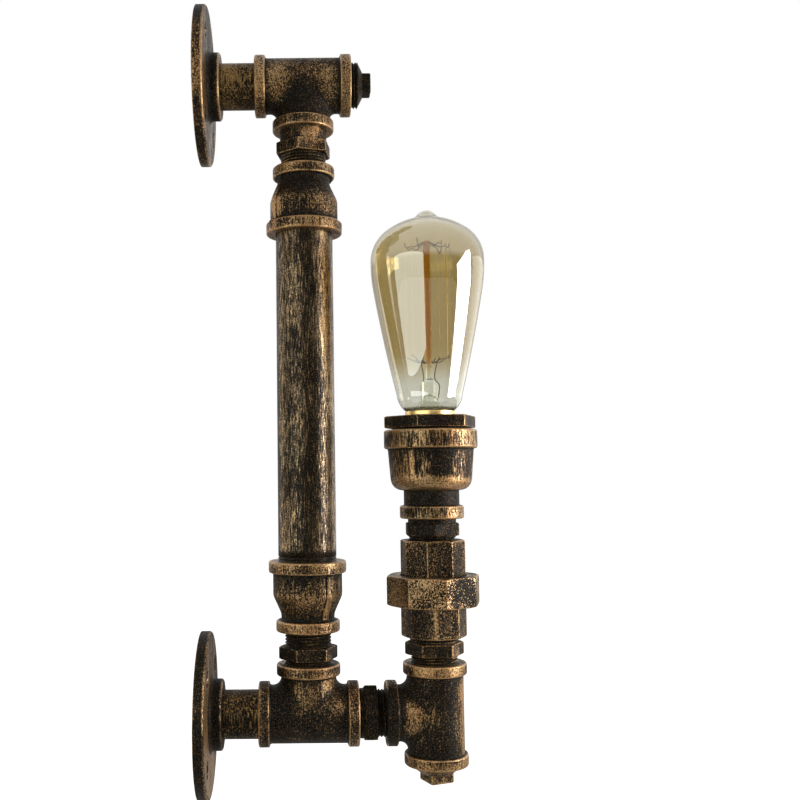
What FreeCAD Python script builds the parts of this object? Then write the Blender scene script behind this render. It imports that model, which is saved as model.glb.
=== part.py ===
import FreeCAD, Part
import math
import os

# Pipe wall light, in millimetres. The wall is the plane x = 0 and the lamp stands out along +X, with +Z up.
# The origin is the centre of the lower flange's back face.

V = FreeCAD.Vector
up = FreeCAD.Rotation()
down = FreeCAD.Rotation(V(1, 0, 0), 180)
out = FreeCAD.Rotation(V(0, 1, 0), 90)

# Three quarter inch screwed joints, shared by every fitting
thread_r = 13.2            # male thread over its crests
thread_gap = 0.05          # radial clearance in a screwed or turning joint
thread_depth = 11.0        # length screwed in
socket_depth = 12.0        # threaded depth of a female end
bore_r = 10.4              # clear way through
face_gap = 0.2             # between two pieces that turn against each other
socket_r = thread_r + thread_gap

# Spacing of the fittings, as exposed lengths between their faces
wall_nipple_show = 20.0
arm_show = 15.2
lower_show = 18.0
upper_show = 21.8
pipe_show = 188.6
riser_show = 14.4
head_show = 12.1

# Wall flange
flange_r = 46.0
flange_plate = 6.0
flange_height = 13.0
flange_edge = 1.4
hub_r = 19.6
hub_foot_r = 22.0
hub_edge = 1.2
screw_r = 2.6
screw_head_r = 5.0
screw_circle_r = 34.0
screw_count = 4

# Straight nipples and the long pipe
nipple_r = 13.45
long_pipe_r = 16.6
long_pipe_wall = 3.2
long_pipe_depth = 13.0
long_socket_depth = 14.0

# Banded tee
tee_reach = 28.2
tee_body_r = 16.0
tee_branch_r = 15.5
tee_blend = 5.0
band_r = 18.0
band_width = 6.3
band_edge = 0.8

# Hexagon nipple: the distance from its lower face to the hexagon differs from place to place
hex_corner_r = 16.9
hex_height = 7.0
hex_edge = 1.0
lower_hex_at = 2.7
upper_hex_at = 7.4
riser_hex_at = 4.4
head_hex_at = 2.6
arm_hex_at = 3.0

# How far each piece ended up turned when it was screwed tight, in degrees
lower_hex_turn = -53.0
upper_hex_turn = -99.5
riser_hex_turn = -60.0
head_hex_turn = -93.0
arm_hex_turn = 15.0
lower_reducer_turn = -52.0
upper_reducer_turn = 150.0
arm_plug_turn = 45.0
union_bottom_turn = -90.0
union_top_turn = -106.0
nut_turn = -82.0
cup_turn = -117.0
bushing_turn = -112.0

# Reducing socket, from its small end to its large one
reducer_length = 39.6
reducer_small_r = 18.1
reducer_small_band = 6.3
reducer_neck_r = 15.3
reducer_neck = 11.5
reducer_flare = 8.0
reducer_body_r = 19.7
reducer_large_r = 22.1
reducer_large_band = 6.7
rib_width = 3.6
rib_height = 1.0

# Square-headed plug
plug_side = 13.0
plug_head = 6.2
plug_cone = 1.3
plug_corner = 1.6
upper_plug_show = 4.2
arm_plug_show = 1.8

# Union
union_corner_r = 18.6
union_bottom_height = 17.6
union_top_height = 19.8
union_thread_r = 22.3
union_thread_length = 9.5
gasket_height = 1.5
gasket_r = 20.0
shoulder_height = 3.0
shoulder_inset = 0.8       # the shoulder turns freely inside the nut's thread
nut_corner_r = 27.2
nut_lip = 2.7
nut_edge = 1.4
lip_gap = 0.8              # round the union's upper half, wide enough for its corners to turn in

# Lamp cup
cup_height = 50.7
cup_band_r = 26.7
cup_band = 10.8
cup_top_r = 24.6
cup_low_r = 23.0
cup_round = 7.5            # height of the rounding under the body
cup_neck_r = 15.8
cup_foot_r = 18.2
cup_foot = 7.5
cup_neck = 6.6
cup_thread_r = 20.9
cup_thread_depth = 14.0
cup_bore_r = 19.4
cup_socket_depth = 15.5
cup_floor = 3.0
cup_edge = 1.0

# Hexagon bushing on the cup
bushing_corner_r = 27.2
bushing_height = 6.8
bushing_lift = 1.0
bushing_thread = 10.0
bushing_lip = 3.0
bushing_edge = 0.8
bushing_hole_r = 14.7

# Lampholder and its fixing to the cup's floor
holder_r = 18.6
holder_gap = 0.3           # round and over the lampholder
holder_edge = 0.6
bridge_r = 17.5
bridge_height = 1.5
shell_wall = 0.6
shell_lift = 3.0
shell_length = 18.0
contact_height = 5.4       # from the well's floor to the bulb's tip
contact_width = 6.0
contact_sheet = 0.6
contact_reach = 4.0
terminal_offset = 11.0
terminal_size = 5.0
terminal_height = 5.0
terminal_lift = 0.8
terminal_hole_r = 1.3
tube_r = 5.0
tube_bore_r = 4.0
tube_into_holder = 2.0
tube_past_nut = 0.5
washer_r = 12.6
washer_height = 1.2
small_nut_r = 8.1
small_nut_height = 3.4

# Bulb, its heights measured up from its contact tip
rim_lift = 0.4             # of the cap's rim over the bushing's top
cap_r = 13.2
cap_wall = 0.5
cap_foot = 4.0
cap_foot_r = 11.2
cap_taper = 2.0
rim_r = 14.2
rim_height = 2.5
cap_length = 27.0
insulator_foot_r = 6.5
insulator_lap = 1.4
tip_r = 4.5
tip_height = 1.2
glass_wall = 0.9
glass_lap = 2.0            # of the glass neck inside the cap's rim
neck_top = 36.5
neck_top_r = 18.2
neck_bulge = 0.8
flank_top = 102.6
flank_top_r = 31.8
flank_bulge = 0.6
equator = 118.4
equator_r = 33.0
shoulder_r = 21.6
crown_r = 40.0
nub_height = 3.5
nub_neck = 1.2
nub_r = 4.4
nub_foot_r = 8.0
nub_hollow = 0.4

# Inside the bulb
press_r = 4.6
press_low = 33.0
press_top = 43.6
rod_r = 1.3
button_r = 2.2
button_height = 2.4
cage_r = 13.5
cage_low = 57.0
cage_high = 125.0
cage_opening = 40.0        # degrees between the first strand and the last, in front
strand_count = 14
wire_r = 0.22
hook_height = 2.0
collar_r = 2.2
collar_height = 1.6
lead_in_from = 40.0
lead_in_elbow = 47.0

# Sheathed lead
lead_r = 3.3
lead_bend_r = 26.0

# Lines and levels that follow from the sizes
column_x = flange_height + wall_nipple_show + tee_reach
lamp_x = column_x + tee_reach + arm_show + tee_reach
column_foot = tee_reach + lower_show
pipe_foot = column_foot + reducer_length
pipe_head = pipe_foot + pipe_show
column_head = pipe_head + reducer_length
upper_z = column_head + upper_show + tee_reach
union_z = tee_reach + riser_show
nut_z = union_z + union_bottom_height
union_split = nut_z + union_thread_length
shoulder_z = union_split + gasket_height
lip_z = shoulder_z + shoulder_height + face_gap
nut_height = lip_z + nut_lip - nut_z
union_top_z = nut_z + nut_height
cup_z = union_top_z + union_top_height + head_show
cup_top = cup_z + cup_height
cup_floor_z = cup_z + cup_socket_depth + cup_floor
holder_z = cup_floor_z + bridge_height
plate_z = cup_top + bushing_lift
tip_z = plate_z + bushing_height + rim_lift + rim_height - cap_length
holder_base = tip_z - contact_height - holder_z
holder_height = plate_z + bushing_height - bushing_lip - holder_gap - holder_z
shell_r = cap_r + thread_gap + shell_wall
lead_end = holder_z + 2 * tube_into_holder
arm_x = column_x + tee_reach
arm_split = arm_x + arm_show


def lathe(*path):
    # A closed outline of (radius, height) turned about Z. Four numbers are an arc through the first pair.
    points = [V(step[-2], 0, step[-1]) for step in path]
    edges = []
    for index, step in enumerate(path):
        start = points[index - 1]
        if len(step) == 4:
            edges.append(Part.Arc(start, V(step[0], 0, step[1]), points[index]).toShape())
        else:
            edges.append(Part.LineSegment(start, points[index]).toShape())
    return Part.Face(Part.Wire(edges[1:] + edges[:1])).revolve(V(), V(0, 0, 1), 360)


def bowed(start_r, start_z, end_r, end_z, bulge):
    # Halfway along an arc that bows out from its chord
    length = math.hypot(end_r - start_r, end_z - start_z)
    return ((start_r + end_r) / 2 + bulge * (end_z - start_z) / length,
            (start_z + end_z) / 2 - bulge * (end_r - start_r) / length)


def blended(lean_r, lean_z, upright_r, upright_z):
    # Halfway along the arc from a leaning point of a wall to one where it stands upright
    rise, swell = upright_z - lean_z, lean_r - upright_r
    bend = (rise ** 2 + swell ** 2) / (2 * swell)
    half = math.atan(swell / rise)
    return upright_r + bend * (1 - math.cos(half)), upright_z - bend * math.sin(half)


def domed(radius, height, rise):
    # The last step of an outline: an arc that arrives square on the axis
    bend = (radius ** 2 + rise ** 2) / (2 * rise)
    half = math.atan(rise / radius)
    return bend * math.sin(half), height + rise - bend * (1 - math.cos(half)), 0, height + rise


def rod(radius, length, foot=0.0):
    return Part.makeCylinder(radius, length, V(0, 0, foot))


def tube(radius, inner, length, foot=0.0):
    return rod(radius, length, foot).cut(rod(inner, length, foot))


def chamfered_disc(radius, height, edge):
    return lathe((0, 0), (radius - edge, 0), (radius, edge), (radius, height - edge),
                 (radius - edge, height), (0, height))


def nut_blank(sides, corner_r, height, edge, turn):
    # A polygon with one corner at the angle turn, its corners rounded off above and below
    angles = [math.radians(turn + 360 * k / sides) for k in range(sides + 1)]
    ring = Part.makePolygon([V(corner_r * math.cos(a), corner_r * math.sin(a), 0) for a in angles])
    block = Part.Face(ring).extrude(V(0, 0, height))
    slope = edge * math.tan(math.radians(30))
    return block.common(lathe((0, 0), (corner_r - edge, 0), (corner_r, slope), (corner_r, height - slope),
                              (corner_r - edge, height), (0, height)))


def put(shape, x, z, facing=up, turn=0.0):
    # Turned about its own Z, then laid along a direction, then moved
    moved = shape.copy()
    moved.rotate(V(), V(0, 0, 1), turn)
    moved.Placement = FreeCAD.Placement(V(x, 0, z), facing).multiply(moved.Placement)
    return moved


def wall_flange():
    rim_r, rim = flange_r - flange_edge, flange_plate - flange_edge
    hub_foot = flange_plate + hub_foot_r - hub_r
    body = lathe((0, 0), (flange_r, 0), (flange_r, rim),
                 (*blended(rim_r, flange_plate, flange_r, rim), rim_r, flange_plate),
                 (hub_foot_r, flange_plate),
                 (*blended(hub_foot_r, flange_plate, hub_r, hub_foot), hub_r, hub_foot),
                 (hub_r, flange_height - hub_edge), (hub_r - hub_edge, flange_height), (0, flange_height))
    body = body.cut(rod(socket_r, flange_height))
    sink = screw_head_r - screw_r
    for k in range(screw_count):
        angle = math.radians(45 + 360 * k / screw_count)
        hole = lathe((0, 0), (screw_r, 0), (screw_r, flange_plate - sink), (screw_head_r, flange_plate),
                     (0, flange_plate))
        hole.translate(V(screw_circle_r * math.cos(angle), screw_circle_r * math.sin(angle), 0))
        body = body.cut(hole)
    return body


def tee():
    # Run along Z, branch along +X
    body = rod(tee_body_r, 2 * tee_reach, -tee_reach)
    branch = put(rod(tee_branch_r, tee_reach), 0, 0, out)
    body = body.fuse(branch)
    seam = [edge for edge in body.Edges if min(edge.BoundBox.XLength, edge.BoundBox.ZLength) > 1]
    body = body.makeFillet(tee_blend, seam)
    band = chamfered_disc(band_r, band_width, band_edge)
    body = body.fuse([put(band, 0, tee_reach - band_width), put(band, 0, -tee_reach),
                      put(band, tee_reach - band_width, 0, out)])
    socket = rod(socket_r, socket_depth)
    return body.cut([rod(bore_r, 2 * tee_reach, -tee_reach), put(rod(bore_r, tee_reach), 0, 0, out),
                     put(socket, 0, tee_reach - socket_depth), put(socket, 0, -tee_reach),
                     put(socket, tee_reach - socket_depth, 0, out)]).removeSplitter()


def hex_nipple(show, hex_at, turn):
    body = nut_blank(6, hex_corner_r, hex_height, hex_edge, turn)
    body.translate(V(0, 0, hex_at))
    body = body.fuse(rod(thread_r, show + 2 * thread_depth, -thread_depth))
    return body.cut(rod(bore_r, show + 2 * thread_depth, -thread_depth))


def reducing_socket():
    # Small end at z = 0, large end at the top, a pair of seam ribs along +X and -X
    neck_top = reducer_small_band + reducer_neck
    flare_top = neck_top + reducer_flare
    body_top = reducer_length - reducer_large_band
    long_socket_r = long_pipe_r + thread_gap

    def skin(extra):
        neck_r, body_r = reducer_neck_r + extra, reducer_body_r + extra
        waist_r, waist = (neck_r + body_r) / 2, (neck_top + flare_top) / 2
        return lathe((0, reducer_small_band - band_edge), (neck_r, reducer_small_band - band_edge),
                     (neck_r, neck_top), (*blended(waist_r, waist, neck_r, neck_top), waist_r, waist),
                     (*blended(waist_r, waist, body_r, flare_top), body_r, flare_top),
                     (body_r, body_top + band_edge), (0, body_top + band_edge))

    rib = Part.makeBox(2 * reducer_large_r, rib_width, reducer_length, V(-reducer_large_r, -rib_width / 2, 0))
    body = skin(0).fuse(skin(rib_height).common(rib))
    body = body.fuse([chamfered_disc(reducer_small_r, reducer_small_band, band_edge),
                      put(chamfered_disc(reducer_large_r, reducer_large_band, band_edge), 0, body_top)])
    return body.cut([rod(bore_r, reducer_length), rod(socket_r, socket_depth),
                     rod(long_socket_r, long_socket_depth, reducer_length - long_socket_depth)])


def square_plug(show):
    # The thread is below z = 0, the square head above
    square = Part.makeBox(plug_side, plug_side, plug_head, V(-plug_side / 2, -plug_side / 2, show + plug_cone))
    square = square.makeFillet(plug_corner, [e for e in square.Edges if e.BoundBox.ZLength > plug_head / 2])
    stub = lathe((0, -thread_depth), (thread_r, -thread_depth), (thread_r, show),
                 (plug_side / 2, show + plug_cone), (0, show + plug_cone))
    return stub.fuse(square)


def union_half_bottom():
    # An octagon to hold with a spanner, the nut's thread above it and the flat seat on top
    whole = union_bottom_height + union_thread_length
    body = nut_blank(8, union_corner_r, union_bottom_height - face_gap, hex_edge, union_bottom_turn)
    body = body.fuse([rod(union_corner_r - 2 * hex_edge, whole),
                      rod(union_thread_r, union_thread_length - face_gap, union_bottom_height + face_gap)])
    return body.cut([rod(bore_r, whole), rod(socket_r, socket_depth)])


def union_half_top():
    # z = 0 is the seat on the gasket. The shoulder turns under the nut's lip, the octagon above it.
    octagon_from = shoulder_height + face_gap + nut_lip + face_gap
    top = octagon_from - face_gap + union_top_height
    octagon = nut_blank(8, union_corner_r, top - shoulder_height, hex_edge, union_top_turn)
    octagon.translate(V(0, 0, shoulder_height))
    body = octagon.fuse(rod(union_thread_r - shoulder_inset, shoulder_height))
    return body.cut([rod(bore_r, top), rod(socket_r, socket_depth, top - socket_depth)])


def union_nut_blank():
    body = nut_blank(8, nut_corner_r, nut_height, nut_edge, nut_turn)
    return body.cut([rod(union_thread_r + thread_gap, nut_height - nut_lip),
                     rod(union_corner_r + lip_gap, nut_height)])


def lamp_cup():
    # Foot at z = 0, a pair of seam ribs along +X and -X
    neck_top = cup_foot + cup_neck
    body_low = neck_top + cup_round
    body_top = cup_height - cup_band

    def skin(extra):
        neck_r, low_r = cup_neck_r + extra, cup_low_r + extra
        return lathe((0, cup_foot - cup_edge), (neck_r, cup_foot - cup_edge), (neck_r, neck_top),
                     (*blended(neck_r, neck_top, low_r, body_low), low_r, body_low),
                     (cup_top_r + extra, body_top + cup_edge), (0, body_top + cup_edge))

    rib = Part.makeBox(2 * cup_band_r, rib_width, body_top - body_low,
                       V(-cup_band_r, -rib_width / 2, body_low))
    body = skin(0).fuse(skin(rib_height).common(rib))
    body = body.fuse([chamfered_disc(cup_foot_r, cup_foot, cup_edge),
                      put(chamfered_disc(cup_band_r, cup_band, cup_edge), 0, body_top)])
    floor = cup_socket_depth + cup_floor
    return body.cut([rod(bore_r, floor), rod(socket_r, cup_socket_depth), rod(cup_bore_r, cup_height, floor),
                     rod(cup_thread_r + thread_gap, cup_thread_depth, cup_height - cup_thread_depth)])


def cup_bushing():
    # z = 0 is the underside of the hexagon
    body = nut_blank(6, bushing_corner_r, bushing_height, bushing_edge, bushing_turn)
    stem = bushing_lift + bushing_thread
    body = body.fuse(rod(cup_thread_r, stem, -stem))
    return body.cut([rod(bushing_hole_r, bushing_height),
                     rod(holder_r + holder_gap, stem + bushing_height - bushing_lip, -stem)])


def holder_body():
    # z = 0 is its foot. The cap's well is open at the top, the lead and the terminals come in from below.
    body = chamfered_disc(holder_r, holder_height, holder_edge)
    body = body.cut([rod(shell_r + thread_gap, holder_height, holder_base),
                     rod(tube_r + thread_gap, 2 * tube_into_holder + face_gap)])
    room = terminal_size / 2 + thread_gap
    for side in (-1, 1):
        body = body.cut(Part.makeBox(2 * room, 2 * room, terminal_lift + terminal_height + thread_gap,
                                     V(-room, side * terminal_offset - room, 0)))
    return body


def holder_contact():
    # Sheet metal: a foot on the well's floor, a leg, and a tongue over the middle
    rise = contact_height - thread_gap
    deep = V(0, contact_width, 0)
    line = [V(shell_r - 1, 0, 0), V(contact_reach, 0, 0), V(contact_reach, 0, rise - contact_sheet),
            V(-contact_reach, 0, rise - contact_sheet), V(-contact_reach, 0, rise),
            V(contact_reach + contact_sheet, 0, rise), V(contact_reach + contact_sheet, 0, contact_sheet),
            V(shell_r - 1, 0, contact_sheet), V(shell_r - 1, 0, 0)]
    leaf = Part.Face(Part.makePolygon(line)).extrude(deep)
    leaf.translate(deep * -0.5)
    leaf = leaf.common(rod(shell_r - thread_gap, rise))
    leaf.translate(V(0, 0, holder_base))
    return leaf


def terminal(side):
    block = Part.makeBox(terminal_size, terminal_size, terminal_height,
                         V(-terminal_size / 2, side * terminal_offset - terminal_size / 2, terminal_lift))
    hole = rod(terminal_hole_r, terminal_lift + terminal_height)
    hole.translate(V(0, side * terminal_offset, 0))
    return block.cut(hole)


def small_nut():
    return nut_blank(6, small_nut_r, small_nut_height, holder_edge, 0).cut(rod(tube_r, small_nut_height))


def bulb_cap():
    rim_from = cap_length - rim_height
    full = cap_foot + cap_taper
    return lathe((cap_foot_r, cap_foot), (cap_r, full), (cap_r, rim_from - rim_height),
                 (rim_r, rim_from), (rim_r, cap_length), (rim_r - cap_wall, cap_length),
                 (rim_r - cap_wall, rim_from), (cap_r - cap_wall, rim_from - rim_height),
                 (cap_r - cap_wall, full + cap_wall), (cap_foot_r - cap_wall, cap_foot + cap_wall))


def bulb_insulator():
    neck_r, top = cap_foot_r - cap_wall, cap_foot + insulator_lap
    return lathe((0, tip_height), (insulator_foot_r, tip_height), (neck_r, cap_foot - thread_gap),
                 (neck_r - thread_gap, cap_foot), (neck_r - thread_gap, top), (0, top))


def glass_skin(inset, nub):
    # Neck, long flank, shoulder and crown. The nub on the crown is where the glass was sealed.
    neck_r, foot = rim_r - cap_wall - thread_gap - inset, cap_length - glass_lap
    top_neck_r, top_flank_r, wide_r = neck_top_r - inset, flank_top_r - inset, equator_r - inset
    meet = math.asin((equator_r - shoulder_r) / (crown_r - shoulder_r))
    centre = equator - (crown_r - shoulder_r) * math.cos(meet)
    bend = crown_r - inset
    meet_r, meet_z, crown = bend * math.sin(meet), centre + bend * math.cos(meet), centre + bend
    path = [(0, foot), (neck_r, foot), (neck_r, cap_length),
            (*bowed(neck_r, cap_length, top_neck_r, neck_top, neck_bulge), top_neck_r, neck_top),
            (*bowed(top_neck_r, neck_top, top_flank_r, flank_top, flank_bulge), top_flank_r, flank_top),
            (*blended(top_flank_r, flank_top, wide_r, equator), wide_r, equator),
            (*blended(meet_r, meet_z, wide_r, equator), meet_r, meet_z)]
    if not nub:
        return lathe(*path, domed(meet_r, meet_z, crown - meet_z))
    foot_angle = math.asin(nub_foot_r / bend)
    halfway, nub_foot = (meet + foot_angle) / 2, centre + bend * math.cos(foot_angle)
    return lathe(*path, (bend * math.sin(halfway), centre + bend * math.cos(halfway), nub_foot_r, nub_foot),
                 (*bowed(nub_foot_r, nub_foot, nub_r, crown + nub_neck, -nub_hollow), nub_r, crown + nub_neck),
                 domed(nub_r, crown + nub_neck, nub_height - nub_neck))


def bulb_glass():
    return glass_skin(0, True).cut(glass_skin(glass_wall, False))


def bulb_stem():
    # The flared foot that is fused to the glass neck, the press and the rod with a button on top
    foot = cap_length - glass_lap
    foot_r = rim_r - cap_wall - glass_wall - 2 * thread_gap
    button, button_rim = cage_high + collar_height, cage_high + collar_height + button_height / 2
    return lathe((0, foot), (foot_r, foot), (*blended(foot_r, foot, press_r, press_low), press_r, press_low),
                 (press_r, press_top), (rod_r, press_top + press_r - rod_r), (rod_r, button),
                 (button_r, button), (button_r, button_rim), domed(button_r, button_rim, button_height / 2))


def bent_wire(points):
    # A fine wire of six sides, mitred at each corner
    first = (points[1] - points[0]).normalize()
    section = Part.makeCircle(wire_r, points[0], first).discretize(7)
    shell = Part.BRepOffsetAPI.MakePipeShell(Part.makePolygon(points))
    shell.setTransitionMode(1)
    shell.add(Part.makePolygon(section))
    shell.build()
    shell.makeSolid()
    return shell.shape()


def around_cage(strand, radius, z):
    # Strands are counted from one side of the opening, and a link lies at a half
    angle = math.radians(-90 + cage_opening / 2 + strand * (360 - cage_opening) / (strand_count - 1))
    return V(radius * math.cos(angle), radius * math.sin(angle), z)


def filament():
    # Up one strand and down the next
    points = []
    for k in range(strand_count):
        ends = [around_cage(k, cage_r, z) for z in (cage_low, cage_high)]
        points += ends if k % 2 == 0 else ends[::-1]
    return bent_wire(points)


def hook_crown(z, first_strand):
    # A collar on the rod and a hooked wire to each link of the filament at this height
    half_step = math.radians((360 - cage_opening) / (strand_count - 1) / 2)
    reach = cage_r * math.cos(half_step) - 2 * wire_r - thread_gap
    crown = tube(collar_r, rod_r + thread_gap, collar_height, z - collar_height / 2)
    for k in range(first_strand, strand_count - 1, 2):
        points = [around_cage(k + 0.5, collar_r - wire_r, z), around_cage(k + 0.5, reach, z - hook_height / 2),
                  around_cage(k + 0.5, reach, z + hook_height / 2)]
        crown = crown.fuse(bent_wire(points))
    return crown


def lead_in_wire(strand, side):
    # Up beside the press, then out to the filament's end
    end = around_cage(strand, cage_r, cage_low - wire_r - thread_gap)
    foot_x = side * (press_r + wire_r + thread_gap)
    return bent_wire([V(foot_x, 0, lead_in_from), V(foot_x, 0, lead_in_elbow), end])


def arm_lead_tube():
    # Out of the arm's face, round the bend and up to the union's seat
    start = V(arm_split + face_gap, 0, 0)
    bend_from, bend_to = V(lamp_x - lead_bend_r, 0, 0), V(lamp_x, 0, lead_bend_r)
    halfway = lead_bend_r * math.sqrt(0.5)
    middle = V(bend_from.x + halfway, 0, lead_bend_r - halfway)
    path = Part.Wire([Part.makeLine(start, bend_from), Part.Arc(bend_from, middle, bend_to).toShape(),
                      Part.makeLine(bend_to, V(lamp_x, 0, union_split))])
    section = Part.Wire(Part.makeCircle(lead_r, start, V(1, 0, 0)))
    return path.makePipeShell([section], True, False)


parts = {}

# Wall branches and the column between them
for name, z, facing_turn in (("lower", 0.0, -90), ("upper", upper_z, 90)):
    parts[name + "_flange"] = put(wall_flange(), 0, z, out)
    nipple = tube(nipple_r, bore_r, wall_nipple_show).fuse(
        tube(thread_r, bore_r, wall_nipple_show + 2 * thread_depth, -thread_depth))
    parts[name + "_wall_nipple"] = put(nipple, flange_height, z, out)
    parts[name + "_tee"] = put(tee(), column_x, z, FreeCAD.Rotation(V(0, 1, 0), facing_turn))
parts["upper_plug"] = put(square_plug(upper_plug_show), column_x + tee_reach, upper_z, out)
parts["lower_hex_nipple"] = put(hex_nipple(lower_show, lower_hex_at, lower_hex_turn), column_x, tee_reach)
parts["upper_hex_nipple"] = put(hex_nipple(upper_show, upper_hex_at, upper_hex_turn), column_x, column_head)
parts["lower_reducer"] = put(reducing_socket(), column_x, column_foot, up, lower_reducer_turn)
parts["upper_reducer"] = put(reducing_socket(), column_x, column_head, down, upper_reducer_turn)
parts["long_pipe"] = put(tube(long_pipe_r, long_pipe_r - long_pipe_wall, pipe_show + 2 * long_pipe_depth,
                              -long_pipe_depth), column_x, pipe_foot)

parts["frame_lead"] = put(rod(lead_r, arm_split - face_gap, face_gap), 0, 0, out)

# The arm turns about X on its hexagon nipple
parts["arm_hex_nipple"] = put(hex_nipple(arm_show, arm_hex_at, arm_hex_turn), arm_x, 0, out)
parts["arm_tee"] = put(tee(), lamp_x, 0, up, 180)
parts["arm_plug"] = put(square_plug(arm_plug_show), lamp_x, -tee_reach, down, arm_plug_turn)
parts["riser_hex_nipple"] = put(hex_nipple(riser_show, riser_hex_at, riser_hex_turn), lamp_x, tee_reach)
parts["arm_lead"] = arm_lead_tube()

# Union
parts["union_bottom"] = put(union_half_bottom(), lamp_x, union_z)
parts["union_gasket"] = put(tube(gasket_r, socket_r, gasket_height), lamp_x, union_split)
parts["union_nut"] = put(union_nut_blank(), lamp_x, nut_z)
parts["union_top"] = put(union_half_top(), lamp_x, shoulder_z)

# Lamp head
parts["head_hex_nipple"] = put(hex_nipple(head_show, head_hex_at, head_hex_turn), lamp_x, cup_z - head_show)
parts["lamp_cup"] = put(lamp_cup(), lamp_x, cup_z, up, cup_turn)
parts["cup_bushing"] = put(cup_bushing(), lamp_x, plate_z)
washer_z = cup_z + cup_socket_depth - washer_height
tube_z = washer_z - small_nut_height - tube_past_nut
parts["holder_washer"] = put(tube(washer_r, tube_r + thread_gap, washer_height), lamp_x, washer_z)
parts["holder_nut"] = put(small_nut(), lamp_x, washer_z - small_nut_height)
parts["holder_tube"] = put(tube(tube_r, tube_bore_r, holder_z + tube_into_holder - tube_z), lamp_x, tube_z)
parts["holder_bridge"] = put(tube(bridge_r, tube_r + thread_gap, bridge_height), lamp_x, cup_floor_z)
parts["holder_body"] = put(holder_body(), lamp_x, holder_z)
parts["holder_shell"] = put(tube(shell_r, shell_r - shell_wall, shell_length, holder_base + shell_lift),
                            lamp_x, holder_z)
parts["holder_contact"] = put(holder_contact(), lamp_x, holder_z)
parts["live_terminal"] = put(terminal(-1), lamp_x, holder_z)
parts["neutral_terminal"] = put(terminal(1), lamp_x, holder_z)
parts["head_lead"] = put(rod(lead_r, lead_end - union_split - face_gap, face_gap), lamp_x, union_split)

# Bulb
bulb = {
    "bulb_tip": chamfered_disc(tip_r, tip_height, tip_height / 3),
    "bulb_insulator": bulb_insulator(),
    "bulb_cap": bulb_cap(),
    "bulb_glass": bulb_glass(),
    "bulb_stem": bulb_stem(),
    "upper_hooks": hook_crown(cage_high, 0),
    "lower_hooks": hook_crown(cage_low, 1),
    "filament": filament(),
    "left_lead_in_wire": lead_in_wire(strand_count - 1, -1),
    "right_lead_in_wire": lead_in_wire(0, 1),
}
for name, shape in bulb.items():
    parts[name] = put(shape, lamp_x, tip_z)

os.makedirs("parts", exist_ok=True)
for name, shape in parts.items():
    print(name, shape.ShapeType, len(shape.Solids), shape.isValid(), round(shape.Volume))
    shape.exportStep("parts/" + name + ".step")
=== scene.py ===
import math

import bmesh
import bpy
import numpy as np
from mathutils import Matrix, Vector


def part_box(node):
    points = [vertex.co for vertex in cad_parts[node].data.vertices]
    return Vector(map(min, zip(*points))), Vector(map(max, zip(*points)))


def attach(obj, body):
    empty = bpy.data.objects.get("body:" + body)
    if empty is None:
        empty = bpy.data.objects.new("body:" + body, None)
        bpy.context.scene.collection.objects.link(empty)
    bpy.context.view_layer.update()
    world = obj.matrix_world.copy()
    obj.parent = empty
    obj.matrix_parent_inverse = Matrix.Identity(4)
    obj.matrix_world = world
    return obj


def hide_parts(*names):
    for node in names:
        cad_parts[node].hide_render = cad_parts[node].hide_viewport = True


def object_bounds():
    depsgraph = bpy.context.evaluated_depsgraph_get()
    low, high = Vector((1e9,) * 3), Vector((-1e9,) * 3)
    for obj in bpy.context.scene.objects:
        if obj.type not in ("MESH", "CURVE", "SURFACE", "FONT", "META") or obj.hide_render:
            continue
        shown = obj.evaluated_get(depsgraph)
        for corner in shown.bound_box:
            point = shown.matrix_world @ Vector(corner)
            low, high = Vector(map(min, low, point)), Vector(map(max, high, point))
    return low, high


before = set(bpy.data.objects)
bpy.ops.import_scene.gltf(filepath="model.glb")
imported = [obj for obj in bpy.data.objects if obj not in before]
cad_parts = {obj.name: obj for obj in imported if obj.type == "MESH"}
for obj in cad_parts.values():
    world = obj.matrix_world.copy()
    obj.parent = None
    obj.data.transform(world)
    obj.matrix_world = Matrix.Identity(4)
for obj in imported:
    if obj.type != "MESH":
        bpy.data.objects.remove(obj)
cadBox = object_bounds()
print("stage: frame loaded")

mm = 0.001  # shapes are worked out in millimetres, lamps and materials in metres
quarter, fullTurn = math.pi / 2, 2 * math.pi


# Places that follow from the frame

boxes = {}


def lowHigh(node):
    # A solid's two outer corners, asked for once.
    if node not in boxes:
        boxes[node] = [np.array(corner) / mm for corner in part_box(node)]
    return boxes[node]


def middleOf(node):
    # Half the sum of the two corners.
    return sum(lowHigh(node)) / 2


columnX, lampX = middleOf("long_pipe")[0], middleOf("bulb_cap")[0]
upperZ, tipZ = middleOf("upper_flange")[2], lowHigh("bulb_tip")[0][2]
teeReach = (lowHigh("arm_tee")[1][2] - lowHigh("arm_tee")[0][2]) / 2
bulbOrigin = (lampX, 0, tipZ)

jointValues = {
    "threadRadius": 13.2,
    "threadPitch": 1.81,
    "threadDepth": 0.85,
    "threadStep": 0.14,  # height between two rows of points
    "runOut": 0.8,  # height over which a thread fades
    "plainRise": 0.5,  # how far a plain stretch stands out over the thread
    "boreRadius": 10.4,
    "grooveShape": (1.25, 0.05),  # steepness of a groove's sides, and how flat its crest is
    "plainRun": 0.5,
    "wallStep": 0.8,  # height between two rows of points on a nut
    "coneSlope": math.tan(math.radians(30)),
}
threadRadius, boreRadius = jointValues["threadRadius"], jointValues["boreRadius"]


# Directions that a piece is laid in: its own axis is Z before that

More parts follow.
